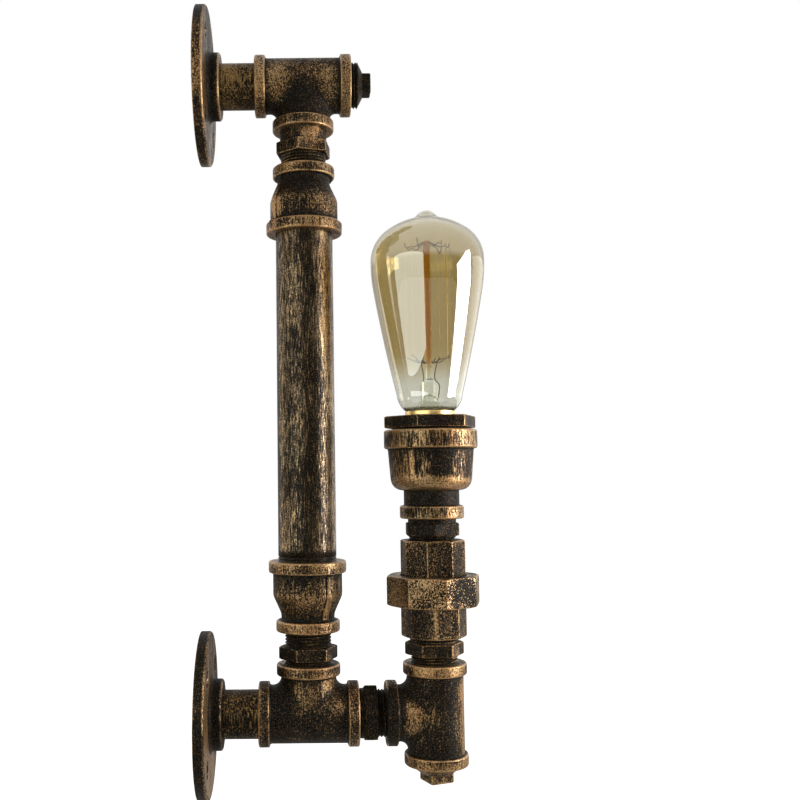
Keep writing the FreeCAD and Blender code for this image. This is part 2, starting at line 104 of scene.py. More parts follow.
def turnedAbout(axis, degrees):
    # A turn about Z or Y as a matrix of the angle's cosine and sine.
    c, s = math.cos(math.radians(degrees)), math.sin(math.radians(degrees))
    if axis == "Z":
        return np.array([[c, -s, 0], [s, c, 0], [0, 0, 1]])
    return np.array([[c, 0, s], [0, 1, 0], [-s, 0, c]])


laidUp, laidOut = np.eye(3), turnedAbout("Y", 90)
laidDown = turnedAbout("Y", 180) @ turnedAbout("Z", 180)


def startOf(node, laid=laidUp, x=None):
    # A solid's length in the direction that its piece is laid, and the middle of the end where the piece
    # starts, which lies on the upright axis at x where one is given.
    low, high = lowHigh(node)
    start, axis = (low + high) / 2, 0 if laid is laidOut else 2
    start[axis] = high[axis] if laid is laidDown else low[axis]
    if x is not None:
        start[:2] = x, 0
    return high[axis] - low[axis], start


# Lines and rings

def straight(start, end, step):
    # Evenly spaced points between two ends, without the ends.
    count = int(np.linalg.norm(end - start) / step - 1e-9)
    share = (np.arange(1, count + 1) / (count + 1))[:, None]
    return start + (end - start) * share


def roundedLine(corners, step, arcStep=math.radians(15), fullShare=0.98):
    # Straight stretches between (radius, height, rounding) corners, with an arc of that radius at each
    # corner. An arc takes up its radius times the tangent of half the turn, and less where two arcs would
    # meet.
    points = np.array([corner[:2] for corner in corners], float)
    lengths = np.linalg.norm(np.diff(points, axis=0), axis=1)
    ways = np.diff(points, axis=0) / lengths[:, None]
    cross = ways[:-1, 0] * ways[1:, 1] - ways[:-1, 1] * ways[1:, 0]
    turns, reaches = np.zeros(len(points)), np.zeros(len(points))
    turns[1:-1] = np.arctan2(np.abs(cross), (ways[:-1] * ways[1:]).sum(1))
    reaches[1:-1] = np.array([corner[2] for corner in corners[1:-1]]) * np.tan(turns[1:-1] / 2)
    room = np.minimum(1, fullShare * lengths / np.maximum(reaches[:-1] + reaches[1:], 1e-9))
    reaches[1:-1] *= np.minimum(room[:-1], room[1:])
    line = [points[:1]]
    for k in range(1, len(points) - 1):
        arc = points[k:k + 1]
        if reaches[k] > 1e-4 and turns[k] > 1e-3:
            bend = reaches[k] / math.tan(turns[k] / 2)
            inward = math.copysign(1, cross[k - 1]) * np.array([-ways[k - 1, 1], ways[k - 1, 0]])
            centre = points[k] - ways[k - 1] * reaches[k] + inward * bend
            sweep = np.linspace(0, turns[k], max(3, math.ceil(turns[k] / arcStep)) + 1)[:, None]
            arc = centre - inward * bend * np.cos(sweep) + ways[k - 1] * bend * np.sin(sweep)
        line += [straight(line[-1][-1], arc[0], step), arc]
    return np.concatenate(line + [straight(line[-1][-1], points[-1], step), points[-1:]])


def closedLine(corners, step):
    # A rounded line that runs back to its first corner.
    return roundedLine(corners + corners[:1], step)[:-1]


def smoothStep(value, low, high):
    # 0 up to low and 1 from high on; between them the share squared, times three less twice the share.
    share = np.clip((value - low) / (high - low), 0, 1)
    return share * share * (3 - 2 * share)


def softMin(a, b, sharpness=180.0):
    # The smaller of two radii, times one plus their ratio to a high power, to the power of less one over it,
    # which rounds the crossing a little.
    small, large = np.minimum(a, b), np.maximum(a, b)
    return small * (1 + (small / large) ** sharpness) ** (-1 / sharpness)


def evenAngles(turns):
    # A full turn times each whole number's share of the count.
    return fullTurn * np.arange(turns) / turns


def cornerAngles(v, turn):
    # Angles that crowd together at each corner of a many-sided piece, so that its corners stay crisp.
    half, spread = math.pi / v["sides"], math.radians(v["cornerSpread"])
    wide = np.linspace(spread, 2 * half - spread, v["perSide"] + 2)[1:-1]
    one = np.concatenate([np.linspace(-spread, spread, 9), wide])
    return (math.radians(turn) + (one[None, :] + 2 * half * np.arange(v["sides"])[:, None])).ravel()


def sidedRadius(v, turn, angles):
    # Distance from the axis to a polygon: its flat's distance over the cosine of the angle from the middle of
    # the flat, and an arc at each corner. One corner lies at the angle turn.
    half, rounding = math.pi / v["sides"], v["cornerRounding"]
    flat = v["cornerRadius"] * math.cos(half)
    off = np.abs((angles - math.radians(turn) + half) % (2 * half) - half)
    centre = (flat - rounding) / math.cos(half)
    arcEnd = math.atan2(rounding * math.sin(half), centre + rounding * math.cos(half))
    inArc = np.sqrt(np.maximum(rounding ** 2 - (centre * np.sin(off)) ** 2, 0)) + centre * np.cos(off)
    return np.where(off < arcEnd, inArc, flat / np.cos(half - off))


def sidedRings(v, turn, angles, foot, top, inner, innerTop):
    # Rings of a nut from its lower inside edge, round the outside, to its upper inside edge. The wall is a
    # polygon cut by a cone at each end, its rims are rounded by the edge, and each flat end runs in to a
    # circle.
    sweep, edge = np.linspace(0, quarter, 6), v["edge"]
    drop, rise = edge * (1 - np.sin(sweep)), edge * (1 - np.cos(sweep))
    wall = np.linspace(foot + edge, top - edge, max(8, int((top - foot) / jointValues["wallStep"])))
    heights = np.concatenate([foot + rise, wall[1:-1], (top - rise)[::-1]])
    inset = np.concatenate([drop, np.zeros(len(wall) - 2), drop[::-1]])
    fromEnd = np.minimum(heights - foot, top - heights)
    cone = v["cornerRadius"] - v["chamfer"] + fromEnd / jointValues["coneSlope"]
    radii = softMin(cone[:, None], sidedRadius(v, turn, angles)[None, :]) - inset[:, None]
    share = np.linspace(0, 1, 6)[:-1, None]
    lowerFace = inner + (radii[:1] - inner) * share
    upperFace = (innerTop + (radii[-1:] - innerTop) * share)[::-1]
    heights = np.concatenate([np.full(len(share), foot), heights, np.full(len(share), top)])
    return np.concatenate([lowerFace, radii, upperFace]), np.repeat(heights[:, None], len(angles), 1)


def threadRings(angles, foot, top, plainFoot=0.0, plainTop=0.0):
    # A screw thread: the radius falls and rises with the height less the share of a turn, apart from a plain
    # stretch at either end.
    v = jointValues
    fade, rise, cutFrom, cutTo = v["runOut"], v["plainRise"], foot + plainFoot, top - plainTop
    (steep, flat), run = v["grooveShape"], v["plainRun"]
    heights = np.linspace(foot, top, max(3, int((top - foot) / v["threadStep"])))[:, None]
    phase = (heights / v["threadPitch"] - angles[None, :] / fullTurn) % 1.0
    groove = np.clip((1 - np.abs(2 * phase - 1)) * steep - flat, 0, 1)
    cut = smoothStep(heights, cutFrom, cutFrom + fade) * (1 - smoothStep(heights, cutTo - fade, cutTo))
    plain = 1 - smoothStep(heights, cutFrom - run, cutFrom) if plainFoot else 0
    plain = plain + (smoothStep(heights, cutTo, cutTo + run) if plainTop else 0)
    radii = threadRadius + rise * plain - v["threadDepth"] * groove * cut
    return radii, np.repeat(heights, len(angles), 1)


def roundRings(line, turns):
    # The same circle row for each (radius, height) of a line.
    line = np.asarray(line, float)
    return np.repeat(line[:, :1], turns, 1), np.repeat(line[:, 1:], turns, 1)


def shellOf(angles, *blocks):
    # Points of a shell from blocks one after the other. A block is rings, or a line that is turned into
    # rings.
    rings = [block if isinstance(block, tuple) else roundRings(block, len(angles)) for block in blocks]
    radii, heights = [np.concatenate(part) for part in zip(*rings)]
    return np.stack([radii * np.cos(angles), radii * np.sin(angles), heights], axis=-1)


# Meshes

rubValues = {
    "reach": 3.5,  # how far round a point its surroundings are looked at
    "fullRub": 1.5,  # how far a point stands out where it is rubbed most
    "edge": (0.2, 0.9),  # turn of the surface per millimetre, where wear starts and where it is full
    "hollow": (0.1, 0.5),
}


def gridFaces(rows, columns, wrapRows):
    # Four corners for each cell of a grid. A corner's number is its row times the columns, plus its column.
    row = np.arange(rows if wrapRows else rows - 1)[:, None]
    column = np.arange(columns)[None, :]
    nextRow, nextColumn = (row + 1) % rows, (column + 1) % columns
    corners = [row * columns + column, row * columns + nextColumn,
               nextRow * columns + nextColumn, nextRow * columns + column]
    return np.stack(corners, axis=-1).reshape(-1, 4)


def outwardFaces(points, wrapRows):
    # A grid's faces turned outwards, and the sign that turns its normals too, from the volume that it holds.
    faces = gridFaces(*points.shape[:2], wrapRows)
    a, b, c, d = points.reshape(-1, 3)[faces].transpose(1, 0, 2)
    volume = np.einsum("ij,ij->", a, np.cross(b, c)) + np.einsum("ij,ij->", a, np.cross(c, d))
    return (faces, 1) if volume > 0 else (faces[:, ::-1], -1)


def gridNormals(points, wrapRows):
    # The cross product of the ways round and along the grid, brought to a length of one.
    across = np.roll(points, -1, 1) - np.roll(points, 1, 1)
    along = np.roll(points, -1, 0) - np.roll(points, 1, 0) if wrapRows else np.gradient(points, axis=0)
    normals = np.cross(across, along)
    return normals / np.maximum(np.linalg.norm(normals, axis=-1, keepdims=True), 1e-9)


def bentness(points, normals, axis, wraps):
    # How fast the normal turns along one direction of the grid, per millimetre, above zero on an outer edge.
    if wraps:
        along, turn = [np.roll(grid, -1, axis) - np.roll(grid, 1, axis) for grid in (points, normals)]
    else:
        along, turn = [np.gradient(grid, axis=axis) for grid in (points, normals)]
    return (along * turn).sum(-1) / np.maximum((along ** 2).sum(-1), 1e-6)


def exposure(points, normals, closed):
    # How far each point stands out from its surroundings along the outline: its height above a weighted mean
    # of the rows within reach, whose weights fall off as a bell curve with the distance along the outline.
    steps = np.linalg.norm(np.diff(points, axis=0, append=points[:1]), axis=-1).mean(1)
    along = np.cumsum(steps) - steps
    gap = np.abs(along[:, None] - along[None, :])
    if closed:
        gap = np.minimum(gap, steps.sum() - gap)
    weight = np.exp(-0.5 * (gap / rubValues["reach"]) ** 2)
    weight *= np.maximum(0.5 * (steps + np.roll(steps, 1)), 1e-4)
    weight /= weight.sum(1, keepdims=True)
    return ((points - np.einsum("ij,jkl->ikl", weight, points)) * normals).sum(-1)


def patchesOn(points, patches):
    # Rubbed or darker places, many of them painted highlights and painted shade: a bell of the given radius
    # round each centre, times its strength, all added up.
    total = np.zeros(len(points))
    for x, y, z, radius, strength in patches:
        total += strength * np.exp(-(np.linalg.norm(points - (x, y, z), axis=1) / radius) ** 2)
    return total


def joinedMesh(name, shells, laid, origin, closed):
    # One mesh from grids of points in the piece's own frame, with the points where they are put and each
    # grid's sign.
    faceBlocks, signs, count = [], [], 0
    for points in shells:
        faces, sign = outwardFaces(points, closed)
        faceBlocks.append(faces + count)
        signs.append(sign)
        count += points.shape[0] * points.shape[1]
    placed = np.concatenate([points.reshape(-1, 3) for points in shells]) @ laid.T + origin
    mesh = bpy.data.meshes.new(name)
    mesh.from_pydata(placed * mm, [], np.concatenate(faceBlocks))
    return mesh, placed, signs


def addObject(name, data):
    # A new object in the scene for a mesh, lamp or camera.
    thing = bpy.data.objects.new(name, data)
    bpy.context.collection.objects.link(thing)
    return thing


def mergeDoubles(mesh, distance=1e-7):
    # Points closer than the distance, in metres, become one, such as a ring that has shrunk to the axis.
    work = bmesh.new()
    work.from_mesh(mesh)
    bmesh.ops.remove_doubles(work, verts=work.verts, dist=distance)
    bmesh.ops.dissolve_degenerate(work, edges=work.edges, dist=distance)
    work.to_mesh(mesh)
    work.free()


def makePiece(name, node, body, material, shells, origin, laid=laidUp, lift=0.0, patches=(),
              closed=True, buriedRows=0):
    # One mesh from grids whose columns go round and whose rows close or end at the axis. It keeps how
    # exposed, sharp and hollow each point is as attributes for the finishes. Lift and patches are added to
    # the exposure, and many patches are painted highlights and painted shade. Patches are placed from the
    # origin.
    mesh, placed, signs = joinedMesh(name, shells, laid, origin, closed)
    rubAndPaintedLight, wear, crease = [], [], []
    for points, sign in zip(shells, signs):
        normals = gridNormals(points, closed) * sign
        along, around = bentness(points, normals, 0, closed), bentness(points, normals, 1, True)
        if buriedRows:
            along[-buriedRows:] = np.minimum(along[-buriedRows:], 0)
        rubAndPaintedLight.append(np.clip(exposure(points, normals, closed) / rubValues["fullRub"], -1, 1).ravel())
        wear.append(smoothStep(np.maximum(along, around), *rubValues["edge"]).ravel())
        crease.append(smoothStep(np.maximum(-along, -around), *rubValues["hollow"]).ravel())
    rubbedAndPaintedLight = np.concatenate(rubAndPaintedLight) + lift + patchesOn(placed - origin, patches)
    kept = {"rubAndPaintedLight": rubbedAndPaintedLight, "edgeWear": np.concatenate(wear), "crease": np.concatenate(crease)}
    for title, values in kept.items():
        mesh.attributes.new(title, "FLOAT", "POINT").data.foreach_set("value", values)
    mesh.polygons.foreach_set("use_smooth", np.ones(len(mesh.polygons), bool))
    mesh.validate()
    mesh.update()
    piece = addObject(name, mesh)
    mesh.materials.append(material)
    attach(piece, body)
    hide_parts(node)
    if not closed:
        mergeDoubles(mesh)
    return piece


# Finishes

def newGroup(name, inputs, outputs):
    # A shader node group with named inputs, each with its starting value, and named outputs.
    group = bpy.data.node_groups.new(name, "ShaderNodeTree")
    kinds = {float: "NodeSocketFloat", tuple: "NodeSocketColor"}
    for title, value in inputs.items():
        socket = group.interface.new_socket(title, in_out="INPUT", socket_type=kinds[type(value)])
        socket.default_value = value
    for title, kind in outputs.items():
        group.interface.new_socket(title, in_out="OUTPUT", socket_type=kinds[kind])
    return group, group.nodes.new("NodeGroupInput").outputs, group.nodes.new("NodeGroupOutput")


def feed(tree, node, values):
    # Sets a node's inputs, or links them where the value is another node's socket.
    for key, value in values.items():
        if isinstance(value, bpy.types.NodeSocket):
            tree.links.new(value, node.inputs[key])
        else:
            node.inputs[key].default_value = value
    return node


def addNode(tree, kind, values=None, **settings):
    # A node of one kind with its settings and inputs.
    node = tree.nodes.new("ShaderNode" + kind)
    for key, value in settings.items():
        setattr(node, key, value)
    return feed(tree, node, values or {})


def newMaterial(name):
    material = bpy.data.materials.new(name)
    material.use_nodes = True
    return material, material.node_tree, material.node_tree.nodes["Principled BSDF"]


def maths(tree, operation, a, b):
    return addNode(tree, "Math", {0: a, 1: b}, operation=operation).outputs[0]


def times(tree, a, b):
    return maths(tree, "MULTIPLY", a, b)


def plus(tree, a, b):
    return maths(tree, "ADD", a, b)


def less(tree, a, b):
    return maths(tree, "SUBTRACT", a, b)


def mixValue(tree, share, a, b):
    return addNode(tree, "Mix", {0: share, 2: a, 3: b}).outputs[0]


def mixColour(tree, share, a, b):
    return addNode(tree, "Mix", {6: a, 7: b, 0: share}, data_type="RGBA").outputs[2]


def ramp(tree, value, low, high):
    # From 0 at low to 1 at high, eased.
    return addNode(tree, "MapRange", {0: value, 1: low, 2: high}, interpolation_type="SMOOTHSTEP").outputs[0]


def objectPlace(tree):
    return addNode(tree, "TexCoord").outputs["Object"]


def noise(tree, place, stretch, scale, detail=4.0, rough=0.55):
    # Noise on the piece's own place, stretched along its axis.
    moved = addNode(tree, "Mapping", {"Vector": place, "Scale": stretch}).outputs[0]
    values = {"Vector": moved, "Scale": scale, "Detail": detail, "Roughness": rough}
    return addNode(tree, "TexNoise", values).outputs[0]


patinaValues = {
    "inputs": {
        "Deep": (0.0011, 0.0010, 0.0007, 1.0),
        "Skin": (0.0060, 0.0063, 0.0046, 1.0),
        "Copper": (0.39, 0.219, 0.087, 1.0),
        "Gold": (0.33, 0.208, 0.089, 1.0),
        "Cover": 0.3,
        "Exposed": 0.4,
        "Patchy": 0.3,
        "Edge": 0.34,
        "Hollow": 0.5,
        "Stroke": 0.4,
        "Soft": 0.22,
        "Glint": 0.3,
        "Pits": 0.8,
        "Shine": 0.40,
        "Gloss": 0.35,
    },
    "outputs": {"Colour": tuple, "Roughness": float, "Metallic": float, "Height": float, "Lacquer": float},
    "noises": {  # stretch, scale, detail and roughness
        "speck": ((1, 1, 0.8), 1450.0, 2.0, 0.6),
        "strokes": ((1, 1, 0.12), 1300.0, 2.0, 0.6),
        "patch": ((1, 1, 0.45), 75.0, 2.0, 0.5),
        "cloud": ((1, 1, 1), 45.0, 2.0, 0.5),
        "grain": ((1, 1, 1), 1700.0, 1.0, 0.5),
        "pitted": ((1, 1, 0.7), 1500.0, 1.0, 0.5),
    },
    "brown": (0.115, 0.048, 0.015, 1.0),
    "brownShare": 0.65,
    "noiseSpread": (0.32, 0.68),  # values of the grain noise that stand for none and for all
    "patchSpread": 3.0,
    "cloudRamp": (0.38, 0.62),
    "brownRamp": (0.40, 0.60),
    "pitRamp": (0.50, 0.60),
    "skinRamp": (0.60, 0.90),
    "glintRamp": (0.56, 0.68),
    "bumps": (0.35, 0.5, 0.35),  # depth of the strokes, the grain and the pits
    "speckRough": 0.1,
    "skinRough": 0.08,  # how much rougher the skin is than the copper
    "coatRough": 0.3,
    "specular": 0.05,
    "bumpDepth": 0.00012,
}


def patinaGroup():
    # Copper rubbed over a dark cast skin. The copper covers a point where grain noise is above one less the
    # cover there, and the cover rises where the point stands out or is sharp and falls in hollows. The same
    # attribute carries painted highlights, which raise the cover, and painted shade, which lowers it. Small
    # dark pits stay in it, small glints show in the skin, and a thin lacquer lies on the copper alone.
    v = patinaValues
    tree, given, result = newGroup("antiquePatina", v["inputs"], v["outputs"])
    place = objectPlace(tree)
    speck, strokes, patch, cloud, grain, pitted = [noise(tree, place, *row) for row in v["noises"].values()]
    rubAndPaintedLight, edgeWear, crease = [addNode(tree, "Attribute", attribute_name=title).outputs["Fac"]
                             for title in ("rubAndPaintedLight", "edgeWear", "crease")]
    mixed = mixValue(tree, given["Stroke"], speck, strokes)
    none, full = v["noiseSpread"]
    mixed = addNode(tree, "MapRange", {0: mixed, 1: none, 2: full}, clamp=False).outputs[0]
    cover = given["Cover"]
    patchy = times(tree, less(tree, patch, 0.5), v["patchSpread"])
    for title, share in (("Exposed", rubAndPaintedLight), ("Edge", edgeWear), ("Patchy", patchy)):
        cover = plus(tree, cover, times(tree, given[title], share))
    cover = less(tree, cover, times(tree, given["Hollow"], crease))
    low, high = less(tree, 1.0, given["Soft"]), plus(tree, 1.0, given["Soft"])
    copper = ramp(tree, plus(tree, mixed, cover), low, high)
    sharp = less(tree, 1.0, times(tree, edgeWear, 0.5))
    pits = times(tree, ramp(tree, pitted, *v["pitRamp"]), times(tree, given["Pits"], sharp))
    copper = times(tree, copper, less(tree, 1.0, pits))
    tone = mixColour(tree, ramp(tree, cloud, *v["cloudRamp"]), given["Copper"], given["Gold"])
    brown = times(tree, ramp(tree, grain, *v["brownRamp"]), v["brownShare"])
    tone = mixColour(tree, brown, tone, v["brown"])
    skinShare = ramp(tree, plus(tree, grain, times(tree, patch, 0.5)), *v["skinRamp"])
    glints = times(tree, ramp(tree, grain, *v["glintRamp"]), given["Glint"])
    skinTone = mixColour(tree, glints, mixColour(tree, skinShare, given["Deep"], given["Skin"]), tone)
    rough = plus(tree, given["Shine"], times(tree, less(tree, 1.0, copper), v["skinRough"]))
    strokeDepth, grainDepth, pitDepth = v["bumps"]
    height = plus(tree, times(tree, mixed, strokeDepth), times(tree, grain, grainDepth))
    feed(tree, result, {
        "Colour": mixColour(tree, copper, skinTone, tone),
        "Roughness": plus(tree, rough, times(tree, speck, v["speckRough"])),
        "Metallic": maths(tree, "MAXIMUM", copper, glints),
        "Height": less(tree, height, times(tree, pits, pitDepth)),
        "Lacquer": times(tree, copper, given["Gloss"])})
    return tree


patina = patinaGroup()


def patinaFinish(name, bump=0.4, **values):
    # A material from the shared patina, with its own values. Its coat lies where the lacquer does.
    v = patinaValues
    material, tree, shader = newMaterial(name)
    cast = tree.nodes.new("ShaderNodeGroup")
    cast.node_tree = patina
    feed(tree, cast, values)
    bumpNode = addNode(tree, "Bump", {"Strength": bump, "Distance": v["bumpDepth"],
                                      "Height": cast.outputs["Height"]})
    feed(tree, shader, {
        "Base Color": cast.outputs["Colour"], "Roughness": cast.outputs["Roughness"],
        "Metallic": cast.outputs["Metallic"], "Coat Weight": cast.outputs["Lacquer"],
        "Coat Roughness": v["coatRough"], "Specular IOR Level": v["specular"], "Normal": bumpNode.outputs[0]})
    return material


plainValues = {"grain": 600.0, "darker": 0.8, "bump": 0.2, "bumpDepth": 0.00002}


def plainFinish(name, colour, roughness, metallic=0.0):
    # A simple finish with a fine grain in its colour and surface.
    v = plainValues
    material, tree, shader = newMaterial(name)
    grain = noise(tree, objectPlace(tree), (1, 1, 1), v["grain"])
    darker = (*[v["darker"] * c for c in colour], 1.0)
    bumpNode = addNode(tree, "Bump", {"Strength": v["bump"], "Distance": v["bumpDepth"], "Height": grain})
    feed(tree, shader, {"Base Color": mixColour(tree, ramp(tree, grain, 0.3, 0.7), darker, (*colour, 1.0)),
                        "Roughness": roughness, "Metallic": metallic, "Normal": bumpNode.outputs[0]})
    return material


castFinish = patinaFinish("antiqueCast", Cover=0.33)
unionFinish = patinaFinish("antiqueUnion", Cover=0.19, Exposed=0.10, Edge=0.45, Stroke=0.1, Glint=0.5)
nutFinish = patinaFinish("rubbedNut", Cover=0.53, Exposed=0.08, Edge=0.4, Stroke=0.0, Patchy=0.6, Pits=1.0,
                         Soft=0.14)
cupFinish = patinaFinish("antiqueCup", Cover=0.24, Exposed=0.45, Stroke=0.7, Soft=0.28)
pipeFinish = patinaFinish("brushedPipe", 0.25, Cover=0.43, Stroke=0.7, Patchy=0.2, Soft=0.34, Shine=0.24,
                          Gloss=0.7, Skin=(0.012, 0.0105, 0.0065, 1.0), Copper=(0.32, 0.200, 0.088, 1.0),
                          Gold=(0.27, 0.180, 0.084, 1.0))
nippleFinish = patinaFinish("darkNipple", Cover=0.42, Stroke=0.75, Soft=0.25, Pits=0.7, Gloss=0.0,
                            Copper=(0.31, 0.192, 0.075, 1.0), Gold=(0.25, 0.162, 0.066, 1.0))
threadFinish = patinaFinish("wornThread", Cover=0.12, Exposed=0.25, Edge=0.3, Glint=0.35)
print("stage: finishes made")


# Wall flanges

flangeValues = {
    "plate": 6.0,
    "rimEdge": 1.4,
    "hubRadius": 19.6,
    "hubFoot": 2.2,
    "hubEdge": 1.4,
    "faceFrom": 5.6,
    "faceInner": 21.0,
    "faceOuter": 44.6,
    "faceRise": (-10, 14),  # heights between which the rub of the face changes
    "screwRadius": 2.6,
    "screwHeadRadius": 5.0,
    "screwOver": 0.5,
    "screwCircle": 34.0,
    "screwCount": 4,
    "screwTurns": 32,
    "boreEdge": (0.3, 0.4),
    "backEdge": 0.4,
    "step": 1.2,
    "turns": 256,
}


def screwHoles():
    # Countersunk screw holes to cut with, each a straight hole that opens into a cone.
    v = flangeValues
    narrow, wide, plate, over = v["screwRadius"], v["screwHeadRadius"], v["plate"], v["screwOver"]
    hole = shellOf(evenAngles(v["screwTurns"]), [
        (0, -over), (narrow, -over), (narrow, plate - wide + narrow), (wide + over, plate + over),
        (0, plate + over)])
    return [hole + v["screwCircle"] * np.array([math.cos(turn), math.sin(turn), 0])
            for turn in quarter / 2 + evenAngles(v["screwCount"])]


def cutBy(piece, shells, laid, origin):
    # Takes other closed shells away from a piece, and leaves a plain mesh.
    mesh = joinedMesh("cutter", shells, laid, origin, False)[0]
    mergeDoubles(mesh)
    cutter = addObject("cutter", mesh)
    modifier = piece.modifiers.new("screwHoles", "BOOLEAN")
    modifier.object, modifier.operation, modifier.solver = cutter, "DIFFERENCE", "EXACT"
    bpy.context.view_layer.update()
    cut = bpy.data.meshes.new_from_object(piece.evaluated_get(bpy.context.evaluated_depsgraph_get()))
    cut.name = piece.data.name
    piece.modifiers.clear()
    piece.data = cut
    bpy.data.objects.remove(cutter)


def makeFlange(which, lift, faceLow, faceHigh, patches=()):
    # A flat round plate with a hub: one closed outline turned round the bore. The face in front of the rim
    # has its own rub, which changes from its foot to its top.
    v, node = flangeValues, which + "_flange"
    height, origin = startOf(node, laidOut)
    rim = lowHigh(node)[1][2] - origin[2]
    backBore, frontBore = v["boreEdge"]
    line = closedLine([
        (threadRadius, height / 2, 0), (threadRadius, 0, backBore), (rim, 0, v["backEdge"]),
        (rim, v["plate"], v["rimEdge"]), (v["hubRadius"], v["plate"], v["hubFoot"]),
        (v["hubRadius"], height, v["hubEdge"]), (threadRadius, height, frontBore)], v["step"])
    piece = makePiece(which + "WallFlange", node, "wall_frame", castFinish,
                      [shellOf(evenAngles(v["turns"]), line)], origin, laidOut, lift, patches)
    points = np.zeros(3 * len(piece.data.vertices))
    piece.data.vertices.foreach_get("co", points)
    x, y, z = (points.reshape(-1, 3) / mm - origin).T
    away, rubbedAndPaintedLight = np.hypot(y, z), np.zeros(len(x))
    onFace = (x > v["faceFrom"]) & (away > v["faceInner"]) & (away < v["faceOuter"])
    piece.data.attributes["rubAndPaintedLight"].data.foreach_get("value", rubbedAndPaintedLight)
    rubbedAndPaintedLight = np.where(onFace, faceLow + (faceHigh - faceLow) * smoothStep(z, *v["faceRise"]), rubbedAndPaintedLight)
    piece.data.attributes["rubAndPaintedLight"].data.foreach_set("value", rubbedAndPaintedLight)
    cutBy(piece, screwHoles(), laidOut, origin)


makeFlange("lower", -1.6, 0.9, 0.1)
makeFlange("upper", -0.7, 0.1, -0.2, [(0, -30, 46, 18, -1.3), (0, -30, -46, 18, -1.1)])
print("stage: flanges made")


# The long pipe and the straight nipples

pipeValues = {
    "radius": 16.6,
    "wall": 3.2,
    "edge": 0.5,
    "threadTurns": 2,  # turns in sight at its foot
    "threadFrom": 0.4,
    "threadPitch": 1.5,
    "threadDepth": 0.6,
    "threadWidth": 0.9,
    "paintedLightHeights": (92, 275, 7),  # from, to and between the places of painted shade and painted highlight down its front
    # bandAt to bandWave place a band of painted shade down the front, which deepens the dark reflection of
    # the room in front.
    "bandAt": 1.2,
    "bandWander": 3.0,
    "bandWave": (100, 56),  # a height where the band crosses its place, and how slowly it wanders
    "paintedShadeBand": (5.5, -0.6),
    # The stripes are painted shade down the left edge and down the left third, a painted highlight down the
    # right, and a short darker stretch low on the right.
    "stripes": [  # share of the radius to the right and to the front, heights, then radius and strength
        (-0.98, 0.2, 90, 275, 4, -0.7), (0.6, 0.8, 186, 275, 6, 0.2), (-0.55, 0.83, 115, 220, 5.5, -0.25),
        (0.7, 0.7, 95, 110, 7, -0.4)],
    "footRing": (1.6, 2.6, -1.6),  # height over the reducer, radius and strength
    "ringPlaces": 30,
    "step": 4,
    "turns": 128,
}


def pipePaintedLightAndDarkThread():
    # Painted shade in a band down the front, whose sideways place is a slow sine of the height, with straight
    # stripes of painted shade and painted highlight beside it. Round the foot of the pipe a ring of patches
    # leaves its thread dark.
    v, foot, radius = pipeValues, lowHigh("long_pipe")[0][2], pipeValues["radius"]
    heights, (zero, slow) = np.arange(*v["paintedLightHeights"]), v["bandWave"]
    sideways = v["bandAt"] + v["bandWander"] * np.sin((heights - zero) / slow)
    places = [(x, -radius, z - foot, *v["paintedShadeBand"]) for x, z in zip(sideways, heights)]
    for right, forward, low, high, size, strength in v["stripes"]:
        places += [(right * radius, -forward * radius, z - foot, size, strength)
                   for z in heights if low < z < high]
    over, size, strength = v["footRing"]
    ring = lowHigh("lower_reducer")[1][2] + over - foot
    return places + [(radius * math.cos(a), radius * math.sin(a), ring, size, strength)
                     for a in evenAngles(v["ringPlaces"])]


def makeLongPipe():
    # A tube: its outline goes up the outside, with a few turns of thread in sight at its foot, and down the
    # bore.
    v = pipeValues
    length, origin = startOf("long_pipe")
    radius, inner, edge = v["radius"], v["radius"] - v["wall"], v["edge"]
    corners = [(inner, length / 2, 0), (inner, 0, edge), (radius, 0, edge)]
    for k in range(v["threadTurns"]):
        foot = lowHigh("lower_reducer")[1][2] + v["threadFrom"] - origin[2] + k * v["threadPitch"]
        corners += [(radius, foot, 0), (radius - v["threadDepth"], foot + v["threadWidth"] / 2, 0),
                    (radius, foot + v["threadWidth"], 0)]
    line = closedLine(corners + [(radius, length, edge), (inner, length, edge)], v["step"])
    makePiece("longPipe", "long_pipe", "wall_frame", pipeFinish,
              [shellOf(evenAngles(v["turns"]), line)], origin, patches=pipePaintedLightAndDarkThread())


nippleValues = {"radius": 13.45, "thread": 11.0, "end": 0.3, "ringEdge": 0.1, "step": 2, "turns": 128}


def makeWallNipple(which, lift, patches):
    # A straight nipple whose two ends are screwed in, and a fine ring where the thread starts.
    v, node = nippleValues, which + "_wall_nipple"
    length, origin = startOf(node, laidOut)
    half = [(threadRadius, 0, v["end"]), (threadRadius, v["thread"], 0),
            (v["radius"], v["thread"], v["ringEdge"])]
    line = closedLine([(boreRadius, length / 2, 0), (boreRadius, 0, v["end"])] + half
                      + [(radius, length - z, rounding) for radius, z, rounding in half[::-1]]
                      + [(boreRadius, length, v["end"])], v["step"])
    makePiece(which + "WallNipple", node, "wall_frame", nippleFinish,
              [shellOf(evenAngles(v["turns"]), line)], origin, laidOut, lift, patches)


makeLongPipe()
# The patches on the wall nipples' upper front are painted light from above.
makeWallNipple("lower", -0.5, [(28, -13, 6, 10, 0.4)])
makeWallNipple("upper", -0.1, [(16, -13, 4, 12, 0.8)])
print("stage: pipes made")


# Tees

